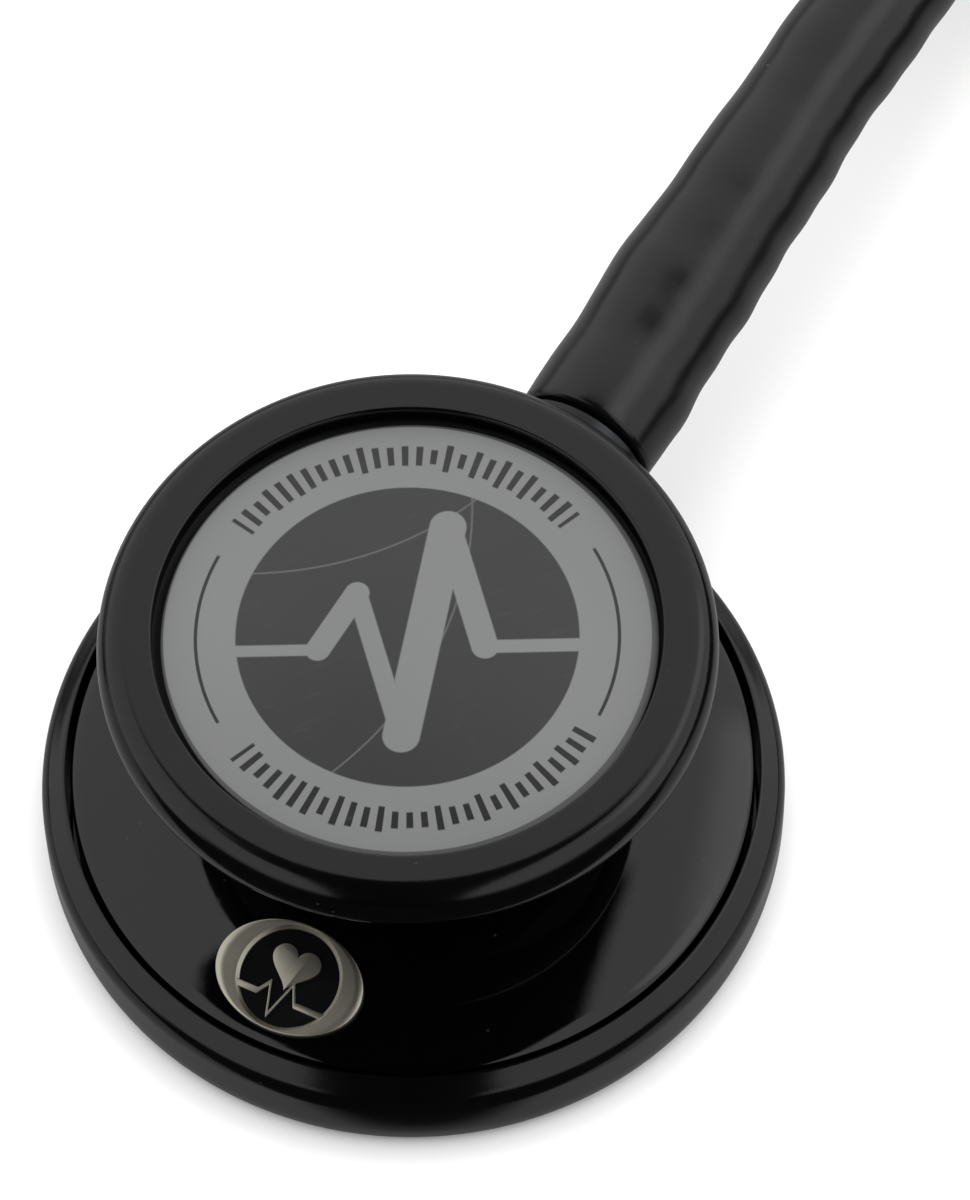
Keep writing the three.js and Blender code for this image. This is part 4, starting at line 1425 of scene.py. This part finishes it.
@dataclass
class Headset:
    """Fork, arms, spring, ear tubes and ear tips, in a frame of their own turned to face -Y.

    In that frame +Y runs from the hose to the ear tips, X is to the sides, and side is 1 or -1.
    """

    origin: Point = (-130.0, 209.0, 4.45)
    pivot_x: float = 5.3
    pivot_y: float = 16.0
    angle: float = 17.0
    fork_r: float = 4.45
    arm_r: float = 4.4
    arm_end_r: float = 4.0
    arm_length: float = 66.0
    socket_r: float = 3.2
    socket_depth: float = 26.0
    tube_r: float = 2.9
    spring_r: float = 0.6
    spring_rise: float = 2.4
    tube_route: tuple[Point, ...] = (
        *((106, 33.2, 0), (130, 41, 0), (156, 48, 0), (180, 51.5, 0.2), (200, 50, 0.6)),
        *((214, 44.5, 1), (224, 36.5, 1.35), (230.5, 28, 1.65)),
    )

    def world(self, point: Point) -> Point:
        """A point of the headset's frame in the model's frame, in millimetres."""
        return (self.origin[0] - point[0], self.origin[1] - point[1], self.origin[2] + point[2])

    def along(self, side: int, distance: float, rise: float = 0.0) -> Point:
        """A point on or above an arm's axis, in the headset's frame.

        Args:
            side: 1 or -1.
            distance: Along the arm from its pivot, in millimetres.
            rise: Height above the axis, in millimetres.

        Returns:
            The point.
        """
        a = math.radians(self.angle)
        across = side * (self.pivot_x + math.sin(a) * distance)
        return (across, self.pivot_y + math.cos(a) * distance, rise)

    def pivot(self, side: int) -> Vector:
        """The point that an arm turns about, in metres in the model's frame."""
        return Vector(self.world(self.along(side, 0))) * MM

    def direction(self, side: int) -> Vector:
        """The way an arm points, in the model's frame."""
        a = math.radians(self.angle)
        return Vector((-side * math.sin(a), -math.cos(a), 0))

    def fork(self, skin: bpy.types.Material) -> None:
        """The moulded fork: a round collar that widens into two seats.

        Args:
            skin: The moulding's material.
        """
        Bench.clear()
        bpy.ops.mesh.primitive_circle_add(vertices=48, radius=(self.fork_r - 0.35) * MM, fill_type="NGON")
        obj = bpy.context.object
        obj.name = obj.data.name = "fork_moulding"
        bpy.ops.object.mode_set(mode="EDIT")
        bpy.ops.mesh.select_all(action="SELECT")
        wide = tall = self.fork_r - 0.35
        high = 0.0
        shape = [(4.4, 4.4, 0.12), (4.45, 4.45, 0.5), (4.45, 4.45, 6), (4.25, 4.25, 6.3), (4.25, 4.25, 6.7)]
        shape += [(4.45, 4.45, 7), (5.0, 4.4, 8.2), (6.1, 4.36, 9.8), (7.4, 4.34, 11.4), (8.6, 4.32, 13)]
        shape += [(9.15, 4.28, 14.2), (9.2, 4.0, 14.75), (8.9, 3.4, 15.0)]
        for next_wide, next_tall, next_high in shape:
            bpy.ops.mesh.extrude_region_move(
                TRANSFORM_OT_translate={"value": (0, 0, (next_high - high) * MM)}
            )
            bpy.ops.transform.resize(
                value=(next_wide / wide, next_tall / tall, 1), center_override=(0, 0, next_high * MM)
            )
            wide, tall, high = next_wide, next_tall, next_high
        bpy.ops.mesh.select_all(action="SELECT")
        bpy.ops.mesh.normals_make_consistent(inside=False)
        bpy.ops.object.mode_set(mode="OBJECT")
        obj.matrix_world = Matrix.Translation(Vector(self.origin) * MM) @ Matrix.Rotation(
            math.radians(90), 4, "X"
        )
        Bench.settle(obj)
        for side in (1, -1):
            Bench.clear()
            bpy.ops.mesh.primitive_uv_sphere_add(
                segments=64, ring_count=32, radius=(self.arm_r + 0.3) * MM, location=self.pivot(side)
            )
            Bench.boolean(obj, bpy.context.object, "DIFFERENCE")
        Bench.smooth(obj, 35)
        dress(obj, skin)
        stand_in(obj, "root", "hose", "fork")

    def arm(self, word: str, side: int, skin: bpy.types.Material) -> None:
        """One flexible arm: a round end in its seat, a long taper and a rolled mouth.

        Args:
            word: "left" or "right".
            side: 1 or -1.
            skin: The moulding's material.
        """
        r, tip = self.arm_r, self.arm_end_r
        start = self.arm_length - self.socket_depth
        stations = [(1.9, -3.97), *arc((0, 0), (r, r), -60, -4, 14), (r, 6), (r, 20), (r, start)]
        end = self.arm_length
        stations += [(r - 0.02, start + 4), (tip, end - 3.4), (tip + 0.28, end - 2.9)]
        stations += [(tip + 0.34, end - 1.6), (tip + 0.24, end - 0.7), (tip - 0.1, end - 0.15)]
        stations += [(tip - 0.4, end), (self.socket_r, end - 0.05), (self.socket_r, start)]
        stations += [(1.9, start - 2)]
        obj = Bench.turned(f"arm_{word}_skin", stations, 72)
        Bench.place(obj, self.pivot(side), self.direction(side))
        dress(obj, skin)
        stand_in(obj, f"{word}_arm", "hose", f"arm_{word}")

    def spring(self, word: str, side: int, steel: bpy.types.Material) -> None:
        """Half of the bowed spring wire, which runs between the fork and its arm.

        Args:
            word: "left" or "right".
            side: 1 or -1.
            steel: The wire's material.
        """
        leaf = [self.along(side, d, self.spring_rise) for d in (34, 24, 12, 3)]
        leaf.append((side * self.pivot_x * 0.55, self.pivot_y - 7, self.spring_rise))
        leaf.append((0, self.pivot_y - 9.5, self.spring_rise))
        route = smooth_route([self.world(p) for p in leaf], 0.8)
        obj = Bench.swept(f"spring_leaf_{word}", route, self.spring_r, 12)
        dress(obj, steel)
        reach = self.direction(side) * 2.5 * MM
        self.pivot(side) - reach
        self.pivot(side) + reach
        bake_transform(obj)
        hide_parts("headset_spring")
        LOG.info("%s bends between the fork and its arm", obj.name)

    def ear(self, word: str, side: int, tube: bpy.types.Material, tip: bpy.types.Material) -> None:
        """One ear tube with its ferrule and soft tip.

        Args:
            word: "left" or "right".
            side: 1 or -1.
            tube: The tube's and ferrule's material.
            tip: The soft tip's material.
        """
        points = [self.along(side, self.arm_length - back) for back in (25, 13, 0)]
        points.append(self.along(side, self.arm_length + 8))
        points += [(side * across, along, rise) for along, across, rise in self.tube_route]
        route = smooth_route([self.world(p) for p in points], 1.2)
        pipe = Bench.swept(f"ear_tube_{word}_pipe", route, self.tube_r, 40)
        dress(pipe, tube)
        stand_in(pipe, f"{word}_ear", "smoke_steel", f"ear_tube_{word}")
        end, way = route[-1], (route[-1] - route[-2]).normalized()
        rings: list[Station] = [(3.2, -4.9), (3.6, -5.0), (3.85, -4.85)]
        for i in range(6):
            low = -4.5 + i * 0.66
            rings += [(3.9, low), (3.9, low + 0.22), (3.74, low + 0.36), (3.74, low + 0.56)]
        rings += [(3.9, -0.5), (3.85, -0.15), (3.6, 0), (3.2, -0.05)]
        ferrule = Bench.turned(f"ferrule_{word}", rings, 64)
        Bench.place(ferrule, end, way)
        dress(ferrule, tube)
        stand_in(ferrule, f"{word}_ear", "smoke_steel", f"ear_tip_ferrule_{word}")
        olive: list[Station] = [(4.2, -2.5), (4.7, -2.7), (5.2, -2.2), (5.6, -0.6), (5.9, 0.7)]
        olive += [(6.08, 1.9), (6.05, 3.1), (5.82, 4.3), (5.35, 5.7), (4.7, 6.9), (3.95, 8.3)]
        olive += [(3.2, 9.5), (2.75, 10.5), (2.4, 11.3), (2.15, 11.8), (1.8, 12.0), (1.55, 11.85)]
        olive += [(1.5, 11.5), (1.5, 1.3), (4.2, 0.7)]
        soft = Bench.turned(f"ear_tip_{word}_olive", olive, 72, angle=45)
        Bench.place(soft, end, way)
        dress(soft, tip)
        stand_in(soft, f"{word}_ear", "ear_tip", f"ear_tip_{word}")

    def build(self) -> None:
        """Models the headset."""
        skin = Satin("headset_moulding", 0.012, 0.34, 2600, 0.006, 120).material()
        steel = Metal("spring_steel", (0.55, 0.56, 0.58), 0.28).material()
        smoke = Metal("smoke_steel", (0.085, 0.087, 0.092), 0.2, (30, 1, 1)).material()
        tip = Satin("ear_tip", 0.03, 0.5, 3400, 0.008, 200).material()
        sides = (("left", 1), ("right", -1))
        self.fork(skin)
        for word, side in sides:
            self.spring(word, side, steel)
        for word, side in sides:
            self.arm(word, side, skin)
            self.ear(word, side, smoke, tip)


# ---- Small parts kept from the frame ------------------------------------------------------------


class Hidden(Enum):
    """Frame nodes that keep their own shape, with the finish each takes."""

    BALL = ("detent_ball", "bare")
    SPRING = ("detent_spring", "bare")
    SCREW = ("detent_screw", "black")
    CLIP = ("retaining_clip", "bare")
    SEAL_IN = ("seal_ring_inner", "seal")
    SEAL_OUT = ("seal_ring_outer", "seal")


def dress_hidden(frame: dict) -> None:
    """Gives the small parts inside the chestpiece their finishes.
    """
    finishes = {
        "bare": Metal("bare_steel", (0.56, 0.57, 0.59), 0.25, depth=0.001).material(),
        "black": Metal("screw_steel", (0.08, 0.08, 0.085), 0.3, depth=0.001).material(),
        "seal": Satin("seal_rubber", 0.008, 0.6).material(),
    }
    for part in Hidden:
        node, finish = part.value
        dress(frame["nodes"][node], finishes[finish])
        LOG.info("%s keeps its own shape", node)


def main() -> None:
    """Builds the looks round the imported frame."""
    logging.basicConfig(level=logging.INFO, format="%(message)s")
    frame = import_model()
    Studio().build()
    Hose().build()
    SmallSide().build()
    LargeSide().build()
    spool = Spool()
    spool.build()
    Badge().build(spool)
    Stem().build()
    Headset().build()
    dress_hidden(frame)


if __name__ == "__main__":
    main()
